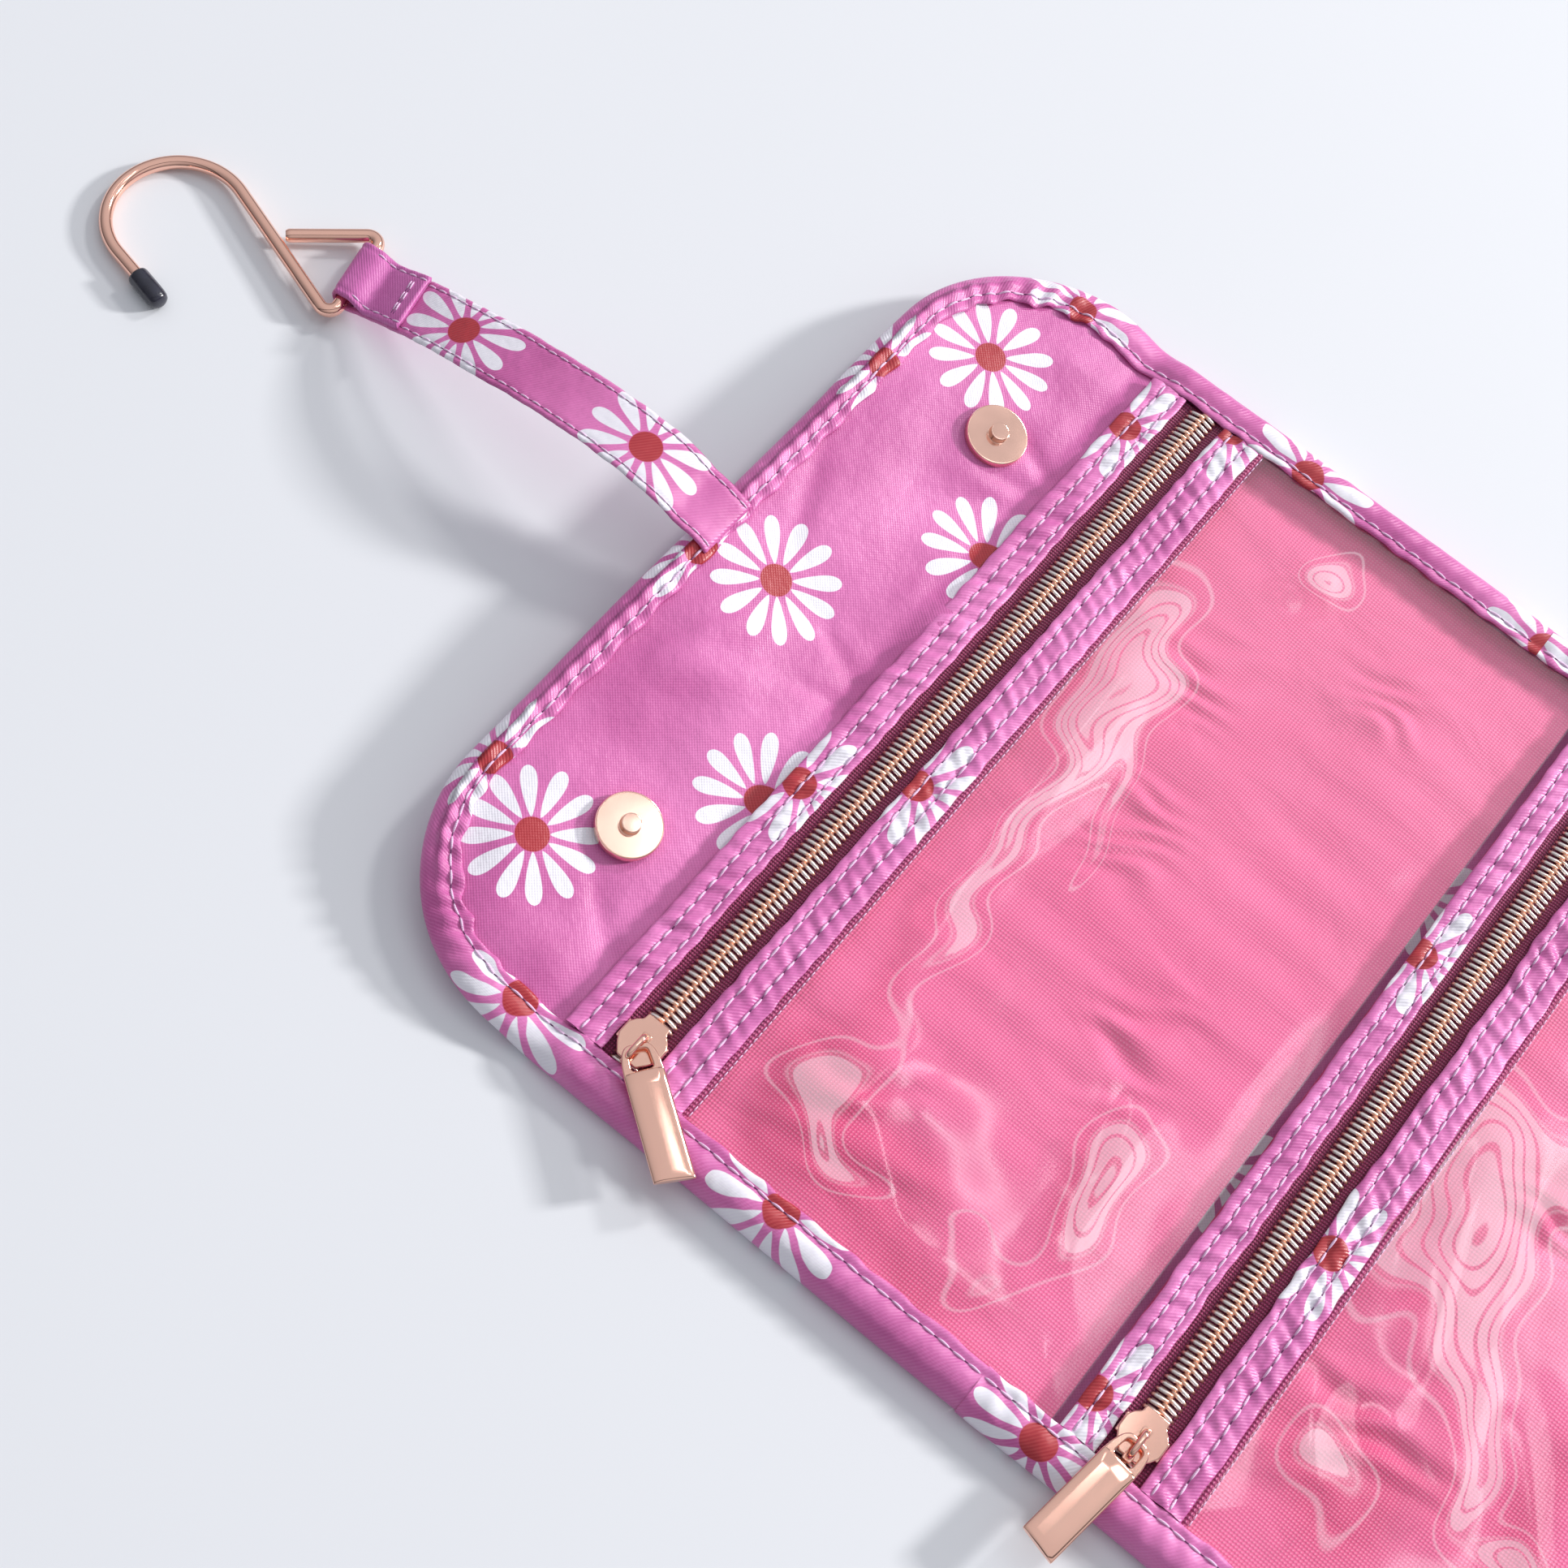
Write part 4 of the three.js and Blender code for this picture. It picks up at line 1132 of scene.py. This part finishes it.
def strap():
    line, run = strap_line()
    tangent = unit(np.gradient(line, axis=0))
    normal = np.stack([-tangent[:, 1], tangent[:, 0]], 1)
    section = strap_section()
    end = smooth((line[:, 0] - 118) / 30)
    half = STRAP_HALF + (7.3 - STRAP_HALF) * end
    wave = 0.12 * ripples(run, run * 0, 91, 9)
    cup = 0.35 * ripples(run, run * 0, 92, 40)
    s, t = section[:, 0][None, :], section[:, 1][None, :]
    near_edge = np.exp(-(((np.abs(s) - 0.9) / 0.12) ** 2))
    pucker = 0.09 * np.sin(2 * PI * run[:, None] / 3.1 + 2 * s) * near_edge
    x = s * (half + wave)[:, None]
    out = t + pucker + cup[:, None] * (s**2 - 0.4) * 0.5 * (1 - end)[:, None]
    y = line[:, 0][:, None] + normal[:, 0][:, None] * out
    z = line[:, 1][:, None] + normal[:, 1][:, None] * out
    y = y + x * math.tan(BAR_YAW) * smooth((y - 118) / 30)
    points = np.stack([x, y, z], -1)
    print_start = run[int(np.argmin(np.abs(line[:, 0] - 79.2)))] - 49.5
    uv = np.stack(np.broadcast_arrays(run[:, None] - print_start, x), -1)
    rows, columns = x.shape
    obj = mesh_object("strap_webbing", points, capped(rows, columns), STRAP_PRINT, "printed_fabric", uv)
    obj.data.materials.append(STRAP_PLAIN)
    first_plain = int(np.argmax(run > run[-1] - TAB_LENGTH)) * columns
    plain = [int(min(face.vertices) >= first_plain) for face in obj.data.polygons]
    obj.data.polygons.foreach_set("material_index", plain)
    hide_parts("strap", "strap_root")
    bend = ("flap", "strap", (0, 0.0605, 0), (0, 0.068, 0))
    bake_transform(obj)
    on_body, on_tab = run < run[-1] - 24, run > run[-1] - 15.5
    lines = []
    for i in (3, STRAP_COLUMNS - 4):  # the grooves of the section
        lines.append(points[on_body, i] + np.column_stack([run[on_body] * 0, normal[on_body] * 0.08]))
        lines.append(points[on_tab, (2 * STRAP_COLUMNS - 2 - i) % columns])
    for back in (2.6, 3.6):
        across = int(np.argmin(np.abs(run - (run[-1] - back))))
        lines.append(points[across, 35:56] + (0, 0, 0.05))
    made = stitch_rows("strap", lines, pitch=3.1, length=2.2, radius=0.2, blend=bend)


# ---------------------------------------------------------------- hook
def hook_line():
    """Middle of the wire, flat, from the triangle's free end to the tip, and the tip's direction."""
    bar_half, bend_r, shank, bight_r, third, tip = 8.6, 2.2, 34.5, 15.2, 17.4, 14.7
    shank_angle, third_angle, bight_end = (math.radians(a) for a in (57.9, 118.6, 154))

    def heading_of(angle):
        return np.array([math.cos(angle), math.sin(angle)])

    def arc(centre, radius, a, b, count=14):
        return [centre + radius * heading_of(v) for v in np.linspace(a, b, count)]

    first = arc(np.array([bar_half, bend_r]), bend_r, third_angle - PI / 2, -PI / 2)
    line = [first[0] + heading_of(third_angle) * third, *first]
    line += arc(np.array([-bar_half, bend_r]), bend_r, -PI / 2, shank_angle + PI / 2 - 2 * PI)
    direction = heading_of(shank_angle)
    line.append(line[-1] + direction * shank)
    centre = line[-1] + bight_r * np.array([-direction[1], direction[0]])
    line += arc(centre, bight_r, shank_angle - PI / 2, bight_end, 50)[1:]
    heading = np.array([-math.sin(bight_end), math.cos(bight_end)])
    line.append(line[-1] + heading * tip)
    return even(line, 0.6)[0], heading


CAP = [
    (0.0, 0.0), (0.9, 0.02), (1.5, 0.18), (1.95, 0.55), (2.2, 1.2), (2.32, 2.1), (2.35, 4.0),
    (2.35, 8.3), (2.25, 8.7), (1.9, 8.8), (1.6, 8.6), (1.55, 7.0),
]
CAP_DEPTH = 7.6 - 0.3  # how far the wire goes into the cap
CAP_LENGTH = 8.8


def hook():
    line, heading = hook_line()
    place = Matrix.Translation((0, *BAR))
    place = place @ Matrix.Rotation(BAR_YAW, 4, "Z") @ Matrix.Rotation(HOOK_DIP, 4, "X")
    centre = np.column_stack([line, line[:, 0] * 0])
    radius = np.full(len(centre), 1.5)
    radius[0], radius[-1] = 1.2, 1.3
    metal_piece("hook_wire_bent", placed(tube(centre, radius, 24), place), ROSE, "hook", "hook_wire")
    away = Vector((-heading[0], -heading[1], 0))
    turn = Vector((0, 0, 1)).rotation_difference(away).to_matrix().to_4x4()
    tip = centre[-1] + np.array(away) * (CAP_DEPTH - CAP_LENGTH)
    points, faces = placed(lathe(CAP, 40), place @ Matrix.Translation(tip) @ turn)
    stand_in(mesh_object("hook_cap", points, faces[:, ::-1], RUBBER, "tip_rubber"), "hook", "hook_tip_cap")


hook()
strap()
y0, y1 = MID_PANEL, FLAP_END - OUTER_INSET
cut_area(y0, y1, OUTER_INSET)
y0, y1 = PANEL_2_END + OUTER_INSET, MID_PANEL
cut_area(y0, y1, OUTER_INSET)
flat, area = (0.208, (FRONT_Y[1] - FRONT_Y[0]) * MM), cut_area(*FRONT_Y, FRONT_INSET)


# ---------------------------------------------------------------- floor, light and camera
def floor():
    material, g, shader = new_material("Pale floor")
    cloud = g.noise(g.place(), 6.0)
    g.link(g.mix(cloud, colour(228, 230, 235), colour(231, 233, 238)), shader.inputs["Base Color"])
    set_inputs(shader, {"Roughness": 0.6})
    size = 6000
    points = [(-size, -size, 0), (size, -size, 0), (size, size, 0), (-size, size, 0)]
    obj = mesh_object("floor", points, [(0, 1, 2, 3)], material, "printed_fabric")
    del obj["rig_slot"]


def area_light(name, direction, distance, size, power, tint=(1, 1, 1)):
    """A lamp that faces the origin; size is across and along."""
    light = bpy.data.lights.new(name, "AREA")
    light.shape, light.size, light.size_y = "RECTANGLE", *size
    light.energy, light.color = power, tint
    obj = bpy.data.objects.new(name, light)
    direction = Vector(direction).normalized()
    obj.location = direction * distance
    obj.rotation_euler = direction.to_track_quat("Z", "Y").to_euler()
    bpy.context.scene.collection.objects.link(obj)


def elevated(azimuth, elevation):
    a, e = math.radians(azimuth), math.radians(elevation)
    return math.cos(e) * math.cos(a), math.cos(e) * math.sin(a), math.sin(e)


floor()
area_light("Key", elevated(-44, 23), 4.2, (0.44, 0.42), 160, (1, 0.99, 0.97))
area_light("Second", elevated(-14, 36), 4.2, (0.46, 0.46), 46, (1, 0.99, 0.97))
# Narrow lamps that the clear fronts mirror: azimuth and width
PANES = ((-27, 0.05), (-32.5, 0.07), (-38.5, 0.07), (-44, 0.05), (22, 0.05))
for number, (azimuth, wide) in enumerate(PANES):
    area_light(f"Pane_{number}", elevated(azimuth, 62), 1.6, (wide, 0.4), 3.4 * wide, (1, 0.99, 1))
area_light("Overhead", elevated(-6, 74), 1.6, (0.34, 0.04), 0.24, (1, 0.99, 1))

world = bpy.data.worlds.new("Studio")
bpy.context.scene.world = world
world.use_nodes = True
background = world.node_tree.nodes["Background"]
sky = Graph(world.node_tree)
around = sky.node("ShaderNodeTexCoord").outputs["Generated"]
toward_light = sky.vector("DOT_PRODUCT", around, (0.45, -0.35, 0.82))
height = sky.xyz(around)[2]
side_light = sky.mix(sky.ramp(toward_light, -0.3, 0.9), (0.36, 0.37, 0.4, 1), (0.93, 0.95, 1.0, 1))
# A dark band of the surroundings gives the metals their contrast
toward_flag = sky.vector("DOT_PRODUCT", around, (0.62, 0.74, 0.26))
flag = sky.ramp(toward_flag, -0.30, -0.26) * sky.ramp(toward_flag, -0.12, -0.16)
side_light = sky.mix(flag * 0.85, side_light, (0.05, 0.045, 0.05, 1))
dark_ground = (0.13, 0.12, 0.13, 1)
sky.link(sky.mix(sky.ramp(height, 0.02, 0.42), dark_ground, side_light), background.inputs["Color"])
background.inputs["Strength"].default_value = 0.72

camera_data = bpy.data.cameras.new("Camera")
camera_data.lens, camera_data.sensor_width = 61.42, 36
camera_data.clip_start, camera_data.clip_end = 0.02, 20
camera = bpy.data.objects.new("Camera", camera_data)
forward = Vector((0.40509, 0.16761, -0.89878)).normalized()
upward = Vector((0.67442, 0.60896, 0.41753))
upward = (upward - forward * upward.dot(forward)).normalized()
rightward = forward.cross(upward)
turn = Matrix((rightward, upward, -forward)).transposed()
camera.matrix_world = Matrix.Translation((-0.24952, -0.07596, 0.48615)) @ turn.to_4x4()
bpy.context.scene.collection.objects.link(camera)
bpy.context.scene.camera = camera
bpy.context.scene.view_settings.view_transform = "Standard"
